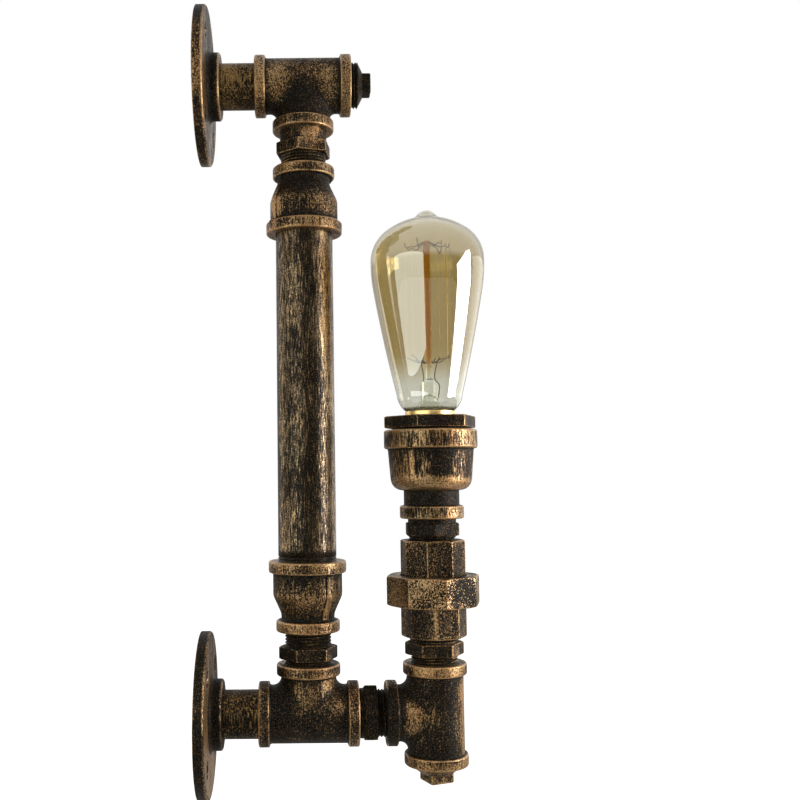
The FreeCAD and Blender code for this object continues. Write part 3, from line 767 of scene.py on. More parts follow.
teeValues = {
    "bodyRadius": 16.0,
    "branchRadius": 15.5,
    "blend": 5.0,
    "bandRadius": 18.0,
    "bandWidth": 6.3,
    "bandEdge": 0.9,
    "bandFoot": 1.0,
    "socket": 12.0,
    "mouthEdge": 0.5,
    "socketEdge": 0.3,
    "skirt": (0.9, 0.06),  # how far the branch's skirt runs on over the run, and into it
    "sunk": (1.0, 1.2),
    "boreAt": 0.75,  # where the branch ends inside, as a share of the run's radius
    "runStep": 1.5,
    "branchStep": 1.2,
    "turns": 160,
}


def bandedCorners(radius):
    # Outer corners of a wall from the tee's middle to its mouth, which ends in a raised band.
    v, under = teeValues, teeReach - teeValues["bandWidth"]
    return [(radius, 0, 0), (radius, under, v["bandFoot"]), (v["bandRadius"], under, v["bandEdge"]),
            (v["bandRadius"], teeReach, v["bandEdge"])]


def teeRun():
    # The straight way through the tee: its upper half's corners, and the same with their heights reversed.
    v, deep = teeValues, teeReach - teeValues["socket"]
    upper = bandedCorners(v["bodyRadius"]) + [
        (threadRadius, teeReach, v["mouthEdge"]), (threadRadius, deep, v["socketEdge"]),
        (boreRadius, deep, v["socketEdge"])]
    lower = [(radius, -z, rounding) for radius, z, rounding in upper[:0:-1]]
    return shellOf(evenAngles(v["turns"]), closedLine(upper + [(boreRadius, 0, 0)] + lower, v["runStep"]))


def teeBranch():
    # The branch along X. A ball of the blend's radius rolls in the corner between branch and run, and its
    # centre stays that far outside both round walls, which gives the wall's foot and the hollow between them.
    v, deep = teeValues, teeReach - teeValues["socket"]
    angles = evenAngles(v["turns"])
    sine, cosine = np.sin(angles), np.cos(angles)
    ball, branch, run = v["blend"], v["branchRadius"], v["bodyRadius"]
    y, z = (branch + ball) * sine, (branch + ball) * cosine
    centre = np.stack([np.sqrt((run + ball) ** 2 - y ** 2), y, z], axis=-1)
    onBranch = np.stack([centre[:, 0], branch * sine, branch * cosine], axis=-1)
    onRun = np.stack([centre[:, 0] * run / (run + ball), y * run / (run + ball), z], axis=-1)
    a, b = (onBranch - centre) / ball, (onRun - centre) / ball
    between = np.arccos(np.clip((a * b).sum(-1, keepdims=True), -1, 1))
    share = np.linspace(0, 1, 12)[:, None, None]
    swing = np.sin((1 - share) * between) * a + np.sin(share * between) * b
    hollow = centre + ball * swing / np.sin(between)
    line = roundedLine([(boreRadius, deep, 0), (threadRadius, deep, v["socketEdge"]),
                        (threadRadius, teeReach, v["mouthEdge"])] + bandedCorners(branch)[:0:-1]
                       + [(branch, teeReach - v["bandWidth"] - 2 * v["bandFoot"], 0)], v["branchStep"])
    heights = np.repeat(line[:, 1:], len(angles), 1)
    outer = np.stack([heights, line[:, :1] * sine, line[:, :1] * cosine], axis=-1)
    wall = outer[-1:] + (onBranch - outer[-1:]) * np.linspace(0, 1, 5)[1:-1, None, None]
    outward = hollow[-1:] * (1, 1, 0) / run
    onward = hollow[-1:] - hollow[-2:-1]
    onward /= np.linalg.norm(onward, axis=-1, keepdims=True)
    skirt = hollow[-1:] + v["skirt"][0] * onward - v["skirt"][1] * outward
    sunk = skirt + v["sunk"][0] * onward - v["sunk"][1] * outward
    inside = np.full(len(angles), run * v["boreAt"])
    bore = np.stack([inside, boreRadius * sine, boreRadius * cosine], axis=-1)
    return np.concatenate([outer, wall, hollow, skirt, sunk, bore[None]])


def makeTee(name, node, body, laid, origin, lift, patches):
    makePiece(name, node, body, castFinish, [teeRun(), teeBranch()], origin, laid, lift,
              patches, buriedRows=4)


front = -16  # just in front of a tee's wall
# (18, front, 7) and (13, -9, 19) on the lower tee are a painted sheen on its right side.
makeTee("lowerTee", "lower_tee", "wall_frame", turnedAbout("Y", -90), (columnX, 0, 0), -0.7,
        [(-7, front, 17, 7, 1.1), (9, front, 17, 7, 1.1), (-1, front, 8, 7, 0.9), (18, front, 7, 6, 1.6),
         (13, -9, 19, 6, 2.2)])
makeTee("upperTee", "upper_tee", "wall_frame", laidOut, (columnX, 0, upperZ), 0.0,
        [(-14, front, 0, 12, 0.7), (15, front, -3, 11, 0.7), (0, front, -10, 12, -1.2),
         (4, -14, -29, 5, -1.2)])
makeTee("armTee", "arm_tee", "arm", turnedAbout("Z", 180), (lampX, 0, middleOf("arm_tee")[2]), -0.65,
        [(-17, front, 4, 8, 1.2), (-15, front, -8, 8, 0.9), (-7, front, 2, 8, 0.9)]
        # A painted sheen down the arm tee's right side.
        + [(14.5, -6, z, 5, 1.5) for z in (-22, -14, -6, 2, 10, 17)]
        + [(x, front, z, 6, 0.8) for x in (-13, -4, 5, 13) for z in (-27, 25)]
        + [(-26, -17, z, 7, -2.2) for z in (-12, 0, 12)])
print("stage: tees made")


# Hexagon nipples: screwed at both ends, with a hexagon to turn them by

hexValues = {
    "sides": 6,
    "cornerRadius": 16.9,
    "cornerRounding": 1.2,
    "cornerSpread": 5,
    "perSide": 14,
    "height": 7.0,
    "edge": 0.5,
    "chamfer": 0.9,
    "buried": 11.0,
}


def makeHexNipple(name, node, body, laid, hexAt, turn, plainBelow, plainAbove, lift, patches=()):
    # The hexagon's foot is at the buried length plus hexAt, and one of its corners at the angle turn. The
    # thread stays plain for the given heights below and above it.
    v = hexValues
    length, origin = startOf(node, laid)
    angles, foot, top = cornerAngles(v, turn), v["buried"] + hexAt, v["buried"] + hexAt + v["height"]
    shell = shellOf(
        angles, [(boreRadius, length / 2), (boreRadius, 0)],
        threadRings(angles, 0, foot, 0.0, plainBelow),
        sidedRings(v, turn, angles, foot, top, threadRadius, threadRadius),
        threadRings(angles, top, length, plainAbove, 0.0), [(boreRadius, length)])
    makePiece(name, node, body, threadFinish, [shell], origin, laid, lift, patches)


# The patch on its right side is a painted sheen.
makeHexNipple("lowerHexNipple", "lower_hex_nipple", "wall_frame", laidUp, 2.7, -53.0, 0.0, 0.0, -0.8,
              [(14, -10, 15.8, 6, 2.4)])
makeHexNipple("upperHexNipple", "upper_hex_nipple", "wall_frame", laidUp, 7.4, -99.5, 0.0, 12.0, 0.0,
              [(6, -14, 30, 8, 2.6), (-8, -14, 30, 6, 0.6)])
makeHexNipple("armHexNipple", "arm_hex_nipple", "wall_frame", laidOut, 3.0, 15.0, 2.5, 0.0, -1.2)
# The patch on its right side is a painted sheen.
makeHexNipple("riserHexNipple", "riser_hex_nipple", "arm", laidUp, 4.4, -60.0, 0.0, 1.5, -0.6,
              [(14, -10, 15.8, 6, 2.4)])
makeHexNipple("headHexNipple", "head_hex_nipple", "head", laidUp, 2.6, -93.0, 1.0, 12.0, -1.2)
print("stage: nipples made")


# Reducing sockets

reducerValues = {
    "smallRadius": 18.1,
    "smallBand": 6.3,
    "neckRadius": 15.1,
    "neck": 3.6,
    "neckRounding": 9,
    "flare": 10.2,
    "flareRounding": 6,
    "bodyRadius": 19.7,
    "largeRadius": 22.1,
    "largeBand": 6.7,
    "bandEdge": 1.0,
    "bandFoot": 0.9,
    "smallSocket": 12,
    "largeSocket": 14,
    "mouthEdge": 0.6,
    "socketEdge": 0.3,
    "ribWidth": 3.6,
    "ribHeight": 1.2,
    "turns": 384,
    "step": 1.0,
}


def ribbedShell(v, line, low, high):
    # A line turned round the axis, its outer wall raised in two narrow ribs between two heights. A rib is
    # its height times an eased share across it, times an eased share along it.
    angles = evenAngles(v["turns"])
    radii, heights = roundRings(line, len(angles))
    off, half = np.abs((angles + quarter) % math.pi - quarter)[None, :] * radii, v["ribWidth"] / 2
    across = 1 - smoothStep(off, half - 0.4, half + 0.5)
    along = smoothStep(heights, low - 0.8, low + 0.4) * (1 - smoothStep(heights, high - 0.4, high + 0.8))
    isOuter = (np.arange(len(line)) < np.argmax(line[:, 1]))[:, None]
    return shellOf(angles, (radii + v["ribHeight"] * across * along * isOuter, heights))


def makeReducer(name, node, laid, turn, patches):
    # The outline goes from the small mouth up the outside and back down the bore, with a rib on each side.
    v, small, large = reducerValues, reducerValues["smallRadius"], reducerValues["largeRadius"]
    length, origin = startOf(node, laid)
    neckTop, bodyTop = v["smallBand"] + v["neck"], length - v["largeBand"]
    neck, body, edge, inside = v["neckRadius"], v["bodyRadius"], v["bandEdge"], v["socketEdge"]
    pipe, deep, shallow = pipeValues["radius"], length - v["largeSocket"], v["smallSocket"]
    line = closedLine([
        (threadRadius, 6, 0), (threadRadius, 0, v["mouthEdge"]), (small, 0, edge),
        (small, v["smallBand"], edge), (neck, v["smallBand"], v["bandFoot"]),
        (neck, neckTop, v["neckRounding"]), (body, neckTop + v["flare"], v["flareRounding"]),
        (body, bodyTop, v["bandFoot"]), (large, bodyTop, edge), (large, length, edge),
        (pipe, length, v["mouthEdge"]), (pipe, deep, inside), (boreRadius, deep, inside),
        (boreRadius, shallow, inside), (threadRadius, shallow, inside)], v["step"])
    makePiece(name, node, "wall_frame", castFinish,
              [ribbedShell(v, line, v["smallBand"], bodyTop)], origin, laid @ turnedAbout("Z", turn),
              patches=patches)


makeReducer("lowerReducer", "lower_reducer", laidUp, -52.0,
            [(11.2, -14.4, z, 3.5, 1.2) for z in (8.8, 13.8, 19.8, 25.8)])
makeReducer("upperReducer", "upper_reducer", laidDown, 150.0, [
    (0, -12, -11, 8, -1.4), (-12, -12, -11, 8, -1.0), (12, -12, -11, 8, -1.0), (-8, -12, -18.5, 4, 1.2),
    (4, -12, -18.5, 4, 1.2), (2, -12, -26, 6, -0.8), (-16.5, -12, -23, 4, 1.2), (-16.5, -12, -29, 4, 1.2),
    (-9, -12, -35, 8, -0.6), (5, -12, -35, 8, -0.8), (10, -12, -1.5, 5, 0.8)])
print("stage: reducers made")


# Square-headed plugs

plugValues = {
    "sides": 4,
    "upperSide": 11.6,
    "armSide": 14.6,
    "cornerRounding": 1.6,
    "cornerSpread": 14,
    "perSide": 14,
    "head": 4.7,
    "cone": 3.0,
    "coneTop": 0.62,  # shares of the head's side
    "faceInner": 0.4,
    "edge": 0.7,
    "chamfer": 0.4,
    "buried": 11.0,
}


def makePlug(name, node, body, side, show, laid, turn, origin, lift):
    # A threaded stub, a short cone and a square head, closed on the axis at both ends. The head's corners lie
    # at half its side times the root of two, and its lower face is left out.
    v = {**plugValues, "cornerRadius": side / math.sqrt(2)}
    angles, foot, low = cornerAngles(v, turn), show + v["cone"], -v["buried"]
    head = sidedRings(v, turn, angles, foot - v["edge"], foot + v["head"], side * v["faceInner"], 0)
    shell = shellOf(
        angles, [(0, low), (threadRadius - 1, low), (threadRadius, low + 1)],
        threadRings(angles, low + 1.2, show),
        roundedLine([(threadRadius - 0.3, show, 0), (side * v["coneTop"], foot, 0)], 0.5),
        tuple(rings[5:] for rings in head), [(0, foot + v["head"])])
    makePiece(name, node, body, threadFinish, [shell], origin, laid, lift, closed=False)


makePlug("upperPlug", "upper_plug", "wall_frame", plugValues["upperSide"], 4.0, laidOut, 45.0,
         (columnX + teeReach, 0, upperZ), -2.0)
makePlug("armPlug", "arm_plug", "arm", plugValues["armSide"], 1.8, laidDown, 113.0,
         (lampX, 0, -teeReach), 0.6)
print("stage: plugs made")


# Union

unionValues = {
    "sides": 8,
    "cornerRadius": 18.6,
    "cornerRounding": 1.0,
    "cornerSpread": 4,
    "perSide": 14,
    "edge": 0.5,
    "chamfer": 0.9,
    "threadRadius": 22.3,
    "endRadius": 16.368,  # where the octagon's flat end meets the round part
    "bottomHeight": 17.4,
    "bottomTurn": -94.0,
    "topTurn": -106.0,
    "topShoulder": 3.0,
    "topGap": 0.8,
    "socket": 12,
}


def makeUnionBottom():
    # An octagon with a round thread above it, on which the nut runs. Its front corner is worn bright.
    v, turn = unionValues, unionValues["bottomTurn"]
    length, origin = startOf("union_bottom", x=lampX)
    top, inner, wide, angles = v["bottomHeight"], v["endRadius"], v["threadRadius"], cornerAngles(v, turn)
    closing = roundedLine([
        (inner, top, 0), (inner, top + 0.4, 0), (wide, top + 0.4, 0.3), (wide, length, 0.5),
        (boreRadius, length, 0.4), (boreRadius, v["socket"], 0), (threadRadius, v["socket"], 0),
        (threadRadius, 0.3, 0)], 2)
    edgeX, edgeY, _ = turnedAbout("Z", turn) @ (v["cornerRadius"], 0, 0)
    patches = [(edgeX, edgeY, z, 1.0, 3.0) for z in np.arange(0.5, 17, 1.0)]
    patches += [(-11, -13, 4, 7, -1.5), (-11, -13, 13, 7, -1.5), (8, -16, 4, 6, -0.2), (8, -16, 13, 6, -0.2)]
    makePiece("unionBottom", "union_bottom", "arm", unionFinish,
              [shellOf(angles, sidedRings(v, turn, angles, 0, top, threadRadius, inner), closing)], origin,
              patches=patches)


def makeUnionTop():
    # An octagon on a wide shoulder, which the nut holds down.
    v, turn = unionValues, unionValues["topTurn"]
    length, origin = startOf("union_top", x=lampX)
    shoulder, inner, wide = v["topShoulder"], v["endRadius"], v["threadRadius"] - v["topGap"]
    angles, deep = cornerAngles(v, turn), length - v["socket"]
    skirt = roundedLine([(threadRadius, deep, 0), (boreRadius, deep, 0), (boreRadius, 0, 0.3), (wide, 0, 0.3),
                         (wide, shoulder, 0.3), (inner, shoulder, 0)], 2)
    octagon = sidedRings(v, turn, angles, shoulder, length, inner, threadRadius)
    makePiece("unionTop", "union_top", "head", unionFinish,
              [shellOf(angles, skirt, octagon)], origin,
              patches=[(15, -10, z, 7, -1.2) for z in (10, 18, 24)])


nutValues = {
    "sides": 8,
    "cornerRadius": 27.2,
    "cornerRounding": 1.2,
    "cornerSpread": 3.5,
    "perSide": 18,
    "edge": 0.7,
    "chamfer": 1.4,
    "turn": -82.0,
    "lip": 2.7,
    "hole": 19.4,
}


def makeUnionNut():
    # An octagon with a lip at its top, which reaches in over the shoulder.
    v, angles = nutValues, cornerAngles(nutValues, nutValues["turn"])
    height, origin = startOf("union_nut", x=lampX)
    hole, under, inside = v["hole"], height - v["lip"], unionValues["threadRadius"] + 0.05
    octagon = sidedRings(v, v["turn"], angles, 0, height, inside, hole + 0.2)
    closing = roundedLine([(hole, height - 0.2, 0), (hole, under, 0.4), (inside, under, 0.3),
                           (inside, 0.2, 0)], 1.5)
    makePiece("unionNut", "union_nut", "union_nut", nutFinish,
              [shellOf(angles, octagon, closing)], origin,
              patches=[(x, -20, z, 9, -3.5) for x, z in ((13, 4), (13, 14), (20, 3))])


makeUnionBottom()
makeUnionNut()
makeUnionTop()
print("stage: union made")


# Lamp cup and its bushing

cupValues = {
    "footRadius": 18.2,
    "foot": 7.5,
    "neckRadius": 15.8,
    "neck": 8.6,
    "lowRadius": 22.7,
    "round": 7.0,
    "topRadius": 24.6,
    "bandRadius": 26.7,
    "band": 10.8,
    "edge": 1.2,
    "socketRadius": 20.95,
    "socket": 14,
    "insideRadius": 19.4,
    "floor": (15.5, 18.5),
    "turn": -122.5,
    "ribWidth": 3.2,
    "ribHeight": 1.3,
    "turns": 400,
    "step": 1.0,
    "patches": [
        (-16.5, -14, 20, 4.5, 2.2), (-10, -19, 20, 4.5, 2.4), (-3, -21, 20, 4.5, 2.4), (4, -21, 20, 4.5, 2.6),
        (11, -18, 18.5, 4.5, 2.2), (17, -13, 18.5, 4.5, 2.2), (-8, -14, 10.5, 5.5, -1.0),
        (0, -16, 10.5, 5.5, -0.7), (10, -12, 10.5, 5.5, -1.0), (-5.5, -23, 30, 3, 1.2),
        (-12.8, -20.3, 25, 2.4, 1.1), (-12.9, -20.5, 29, 2.4, 1.1), (-13.1, -20.7, 33, 2.4, 1.1),
        # (-9, -22, 31) is a painted shadow beside the rib; (2, -23, 27) and (3, -23, 34) darken the middle of
        # the front.
        (-9, -22, 31, 2.5, -0.8), (2, -23, 27, 5, -1.2), (3, -23, 34, 5, -1.2), (-8, -25, 46, 6, 0.6),
        (22, -14, 45, 7, 0.5), (-8, -17, 4, 4, 0.6), (11, -14, 4, 5, 0.6)],
}


def makeCup():
    # The outline goes from the foot up the outside and back down the inside, with a rib on each side.
    v = cupValues
    height, origin = startOf("lamp_cup", x=lampX)
    neckTop, bodyTop, (floorLow, floorTop) = v["foot"] + v["neck"], height - v["band"], v["floor"]
    foot, band, edge, deep = v["footRadius"], v["bandRadius"], v["edge"], height - v["socket"]
    line = closedLine([
        (threadRadius, 6, 0), (threadRadius, 0, 0.6), (foot, 0, edge), (foot, v["foot"], edge),
        (v["neckRadius"], v["foot"], 0.8), (v["neckRadius"], neckTop, 0.5),
        (v["lowRadius"], neckTop, v["round"]), (v["topRadius"], bodyTop, 0.9), (band, bodyTop, edge),
        (band, height, edge), (v["socketRadius"], height, 0.5), (v["socketRadius"], deep, 0),
        (v["insideRadius"], deep, 0.3), (v["insideRadius"], floorTop, 1.0), (boreRadius, floorTop, 0.3),
        (boreRadius, floorLow, 0), (threadRadius, floorLow, 0)], v["step"])
    makePiece("lampCup", "lamp_cup", "head", cupFinish,
              [ribbedShell(v, line, neckTop + v["round"] * 0.6, bodyTop)], origin,
              turnedAbout("Z", v["turn"]), patches=v["patches"])


bushingValues = {
    "sides": 6,
    "cornerRadius": 27.2,
    "cornerRounding": 1.2,
    "cornerSpread": 4,
    "perSide": 24,
    "edge": 0.5,
    "chamfer": 0.8,
    "height": 6.8,
    "turn": -112.0,
    "threadRadius": 20.9,
    "hole": 14.7,
    "holderHole": 18.9,
    "lip": 3.0,
}


def makeBushing():
    # A hexagon with a round skirt under it that is screwed into the cup, and a lip that holds the lampholder
    # down.
    v, angles = bushingValues, cornerAngles(bushingValues, bushingValues["turn"])
    top, origin = startOf("cup_bushing", x=lampX)
    hole, wide, outer = v["hole"], v["holderHole"], v["threadRadius"]
    under, foot = top - v["lip"], top - v["height"]
    hexagon = sidedRings(v, v["turn"], angles, foot, top, outer, hole + 0.3)
    closing = roundedLine([(hole, top - 0.2, 0), (hole, under, 0.3), (wide, under, 0.3), (wide, 0, 0.3),
                           (outer, 0, 0.4), (outer, foot - 0.2, 0)], 1.5)
    makePiece("cupBushing", "cup_bushing", "head", castFinish,
              [shellOf(angles, hexagon, closing)], origin, lift=-1.0)


makeCup()
makeBushing()
print("stage: cup made")


# Bulb: heights are from the contact tip

bulbValues = {
    "capRadius": 13.2,
    "capWall": 0.5,
    "rimRadius": 14.2,
    "rimHeight": 2.5,
    "capLength": 27.0,
    "capFoot": 4.0,
    "capFootRadius": 11.2,
    "capPitch": 3.62,
    "capGroove": 0.5,
    "glassWall": 0.8,
    "neckTop": 36.5,
    "neckTopRadius": 18.9,
    "neckBulge": 1.2,
    "flankTop": 99.2,
    "flankTopRadius": 31.8,
    "flankBulge": 0.6,
    "equator": 115.0,
    "equatorRadius": 33.0,
    "shoulderRadius": 21.6,
    "crownRadius": 40.0,
    "nubHeight": 4.3,
    "nubNeck": 2.6,
    "nubRadius": 4.6,
    "nubFoot": 9.5,
    "nubHollow": 0.25,
    "turns": 192,
    "capTurns": 96,
}


def arcThrough(start, middle, end, count):
    # Points on the circle through three (radius, height) points.
    (ax, ay), (bx, by), (cx, cy) = start, middle, end
    d = 2 * (ax * (by - cy) + bx * (cy - ay) + cx * (ay - by))
    a2, b2, c2 = ax * ax + ay * ay, bx * bx + by * by, cx * cx + cy * cy
    x = (a2 * (by - cy) + b2 * (cy - ay) + c2 * (ay - by)) / d
    y = (a2 * (cx - bx) + b2 * (ax - cx) + c2 * (bx - ax)) / d
    first = math.atan2(ay - y, ax - x)
    swing = (math.atan2(cy - y, cx - x) - first + math.pi) % fullTurn - math.pi
    angles = first + swing * np.linspace(0, 1, count)
    return np.array([x, y]) + math.hypot(ax - x, ay - y) * np.stack([np.cos(angles), np.sin(angles)], axis=-1)


def bowedArc(start, end, bulge, count):
    # An arc that bows out from the straight line between two points.
    across, up = end[0] - start[0], end[1] - start[1]
    share = bulge / math.hypot(across, up)
    middle = ((start[0] + end[0]) / 2 + share * up, (start[1] + end[1]) / 2 - share * across)
    return arcThrough(start, middle, end, count)


def blendedMiddle(lean, upright):
    # Middle of the arc from a leaning point of a wall to one where it stands upright.
    rise, swell = upright[1] - lean[1], lean[0] - upright[0]
    bend = (rise ** 2 + swell ** 2) / (2 * swell)
    half = math.atan(swell / rise)
    return upright[0] + bend * (1 - math.cos(half)), upright[1] - bend * math.sin(half)


def glassLine(inset):
    # The bulb's outline from its foot to the axis, moved in by inset. The nub on the crown is hollow too.
    v = bulbValues
    neck = (v["rimRadius"] - v["capWall"] - inset, v["capLength"])
    neckTop = (v["neckTopRadius"] - inset, v["neckTop"])
    flankTop = (v["flankTopRadius"] - inset, v["flankTop"])
    wide = (v["equatorRadius"] - inset, v["equator"])
    flatter = v["crownRadius"] - v["shoulderRadius"]
    meet = math.asin((v["equatorRadius"] - v["shoulderRadius"]) / flatter)
    centre, bend = v["equator"] - flatter * math.cos(meet), v["crownRadius"] - inset
    joint = (bend * math.sin(meet), centre + bend * math.cos(meet))
    sweep = np.linspace(meet, math.asin((v["nubFoot"] - inset / 2) / bend), 16)
    crown = np.stack([bend * np.sin(sweep), centre + bend * np.cos(sweep)], axis=-1)
    nubRadius, rise, top = v["nubRadius"] - 0.8 * inset, v["nubHeight"] - v["nubNeck"], centre + bend
    ball = (nubRadius ** 2 + rise ** 2) / (2 * rise)
    sweep = np.linspace(2 * math.atan(rise / nubRadius), 0, 12)
    line = np.concatenate([
        [(neck[0], v["capLength"] - 2)],
        bowedArc(neck, neckTop, v["neckBulge"], 12),
        bowedArc(neckTop, flankTop, v["flankBulge"], 40),
        arcThrough(flankTop, blendedMiddle(flankTop, wide), wide, 14),
        arcThrough(wide, blendedMiddle(joint, wide), joint, 24),
        crown,
        bowedArc(crown[-1], (nubRadius, top + v["nubNeck"]), -v["nubHollow"], 12),
        np.stack([ball * np.sin(sweep), top + v["nubHeight"] - ball * (1 - np.cos(sweep))], axis=-1)])
    apart = np.linalg.norm(np.diff(line, axis=0), axis=1) > 1e-3
    return line[np.append(True, apart)]


def makeGlass(material):
    # One closed skin: up the outside to the nub, then down the inside from the crown.
    line = np.concatenate([glassLine(0.0)[::-1], glassLine(bulbValues["glassWall"])])
    makePiece("bulbGlass", "bulb_glass", "bulb", material,
              [shellOf(evenAngles(bulbValues["turns"]), line)], bulbOrigin, closed=False)


glassValues = {
    "clear": (0.755, 0.755, 0.685, 1.0),
    # A painted dark outline where the wall is seen edge on.
    "edge": (0.20, 0.18, 0.13, 1.0),
    "tints": [  # of the flank, the crown, the nub and the foot, with the heights between which each comes in
        # The crown's paler tint is a painted reflection of the ceiling, and the foot's dark tint a painted
        # shadow where the glass meets the cap's rim.
        ((0.545, 0.465, 0.275, 1.0), 40, 64),
        ((0.62, 0.57, 0.41, 1.0), 116, 130),
        ((0.58, 0.56, 0.45, 1.0), 140, 142),
        ((0.20, 0.18, 0.13, 1.0), 29.5, 28.3)],
    "edgeFrom": 0.66,
    "edgeFull": 0.82,
    "coatIor": 1.95,
    "ior": 1.1,
}


def tintedByHeight(tree, tint, tints):
    # A colour that gives way to others between pairs of heights above the tip.
    height = addNode(tree, "SeparateXYZ", {0: objectPlace(tree)}).outputs[2]
    for colour, low, high in tints:
        tint = mixColour(tree, ramp(tree, height, (tipZ + low) * mm, (tipZ + high) * mm), tint, colour)
    return tint


def amberGlass():
    # Amber from the crown down, pale green near the neck and at the nub, and darker where the wall is seen
    # edge on, a painted dark outline. The crown's paler tint is a painted reflection of the ceiling and the
    # dark foot a painted shadow at the cap. The gloss lies on the outside alone.
    v = glassValues
    material, tree, shader = newMaterial("amberGlass")
    facing = addNode(tree, "LayerWeight", {"Blend": 0.5}).outputs["Facing"]
    edge = ramp(tree, facing, v["edgeFrom"], v["edgeFull"])
    inside = addNode(tree, "NewGeometry").outputs["Backfacing"]
    feed(tree, shader, {
        "Base Color": mixColour(tree, edge, tintedByHeight(tree, v["clear"], v["tints"]), v["edge"]),
        "Coat Weight": times(tree, less(tree, 1.0, edge), less(tree, 1.0, inside)), "Coat IOR": v["coatIor"],
        "Coat Roughness": 0.0, "Roughness": 0.0, "Transmission Weight": 1.0, "IOR": v["ior"]})
    return material


def makeCap():
    # Rolled brass shell with a coarse screw, and a plain rim above it.
    v, angles = bulbValues, evenAngles(bulbValues["capTurns"])
    wall, radius, rim = v["capWall"], v["capRadius"], v["rimRadius"]
    foot, footRadius = v["capFoot"], v["capFootRadius"]
    rimFrom, top = v["capLength"] - v["rimHeight"], v["capLength"]
    low, high = foot + 2.5, rimFrom - 3.0
    heights = np.linspace(low, high, 90)[:, None]
    wave = 0.5 - 0.5 * np.cos(fullTurn * (heights / v["capPitch"] - angles[None, :] / fullTurn))
    ends = smoothStep(heights, low, low + 2) * (1 - smoothStep(heights, high - 2, high))
    screwed = radius - v["capGroove"] * wave * ends
    footLine = roundedLine([(footRadius - wall, foot, 0), (footRadius, foot, 0.2), (radius, low - 0.3, 0.5),
                            (radius, low, 0)], 0.5)
    rimLine = roundedLine([
        (radius, high, 0), (radius, rimFrom - 1.6, 0.6), (rim, rimFrom, 0.6), (rim, top, 0.5),
        (rim - wall, top, 0.2), (rim - wall, rimFrom, 0.4), (radius - 2 * wall, rimFrom - 2, 0.4),
        (footRadius - wall, foot + 0.6, 0)], 0.6)
    shell = shellOf(angles, footLine[:-1], (screwed, np.repeat(heights, len(angles), 1)), rimLine[1:])
    makePiece("bulbCap", "bulb_cap", "bulb",
              plainFinish("polishedBrass", (0.80, 0.56, 0.22), 0.34, 1.0), [shell], bulbOrigin)


makeGlass(amberGlass())
makeCap()
print("stage: bulb made")


# Inside the bulb

stemValues = {
    "foot": 25,
    "footRadius": 12.4,
    "pressRadius": 4.6,
    "pressLow": 33.0,
    "pressTop": 43.6,
    "rodRadius": 1.9,
    "buttonRadius": 2.6,
    "cageHigh": 123.3,
    "turns": 48,
    "clear": (0.90, 0.92, 0.86, 1.0),
    "tints": [((0.72, 0.39, 0.015, 1.0), 49, 60)],
    "ior": 1.35,
}


def stemGlass():
    # Clear in the foot, amber in the rod above the lower crown.
    v = stemValues
    material, tree, shader = newMaterial("stemGlass")
    feed(tree, shader, {"Base Color": tintedByHeight(tree, v["clear"], v["tints"]), "Roughness": 0.02,
                        "Transmission Weight": 1.0, "IOR": v["ior"]})
    return material


def makeStem(material):
    # A flared foot, hollow from below, that is pressed flat round the wires and carries the rod with its
    # button.
    v = stemValues
    foot, flare, press = v["foot"], v["footRadius"], v["pressRadius"]
    low, pressTop = v["pressLow"], v["pressTop"]
    rod, button, top = v["rodRadius"], v["buttonRadius"], v["cageHigh"]
    line = roundedLine([
        (0, low + 4, 0), (2.6, low + 3, 1.0), (3.4, low - 1, 3), (flare - 2.6, foot + 1.6, 1.5),
        (flare - 0.9, foot, 0.2), (flare, foot, 0.2), (flare - 1.5, foot + 2, 1.5), (press, low, 4),
        (press, pressTop, 1.0),
        (rod, pressTop + 2.2, 1.5), (rod, top + 1.0, 0.6), (button, top + 2.0, 0.8), (button, top + 3.2, 0.9),
        (0, top + 4.2, 0)], 1.2)
    makePiece("bulbStem", "bulb_stem", "bulb", material,
              [shellOf(evenAngles(v["turns"]), line)], bulbOrigin, closed=False)


wireValues = {
    "cageRadius": 13.5,
    "cageLow": 57.0,
    "cageHigh": stemValues["cageHigh"],
    "opening": 40.0,
    "strands": 14,
    "strandRadius": 0.045,
    "sway": 0.4,
    "loop": 0.5,
    # One strand is drawn thick, a painted reflection that shows as a bright streak.
    "reflectionStrand": 1,
    "reflectionRadius": 0.28,
    "hookRadius": 0.25,
    "hookRise": 2.0,
    "kink": 0.9,
    "hookPath": [  # strand, radius, share of the rise, share of the kink and height
        (0.5, 1.9, 1.0, 0, 0), (0.5, 4.05, 0.8, 0, 0), (0.4, 7.425, 0.1, 1, 0), (0.5, 10.125, 0, -1, 0),
        (0.6, 12.42, -0.5, -1, 0), (0.5, 13.23, 0, 1, 2.2)],
    "leadInRadius": 0.26,
    "leadInHeights": (34, 41.5, 46.5, 54),
    "leftLeadIn": (-4.6, -4.6, -3.2, -5.0),
    "rightLeadIn": (4.7, 6.0, 3.2, 3.8),
}


def closedWire(points, radius, sides=6):
    # A round wire along a line of points, closed at both ends. Each ring stands square to the line, turned
    # from a fixed direction.
    along = np.gradient(points, axis=0)
    along /= np.linalg.norm(along, axis=1, keepdims=True)
    fixed = np.eye(3)[int(np.argmin(points.max(0) - points.min(0)))]
    side = np.cross(along, fixed)
    side /= np.maximum(np.linalg.norm(side, axis=1, keepdims=True), 1e-9)
    angles = evenAngles(sides)[None, :, None]
    ring = np.cos(angles) * side[:, None, :] + np.sin(angles) * np.cross(along, side)[:, None, :]
    ends = np.repeat(points[[0, -1], None, :], sides, 1)
    return np.concatenate([ends[:1], points[:, None, :] + radius * ring, ends[1:]])


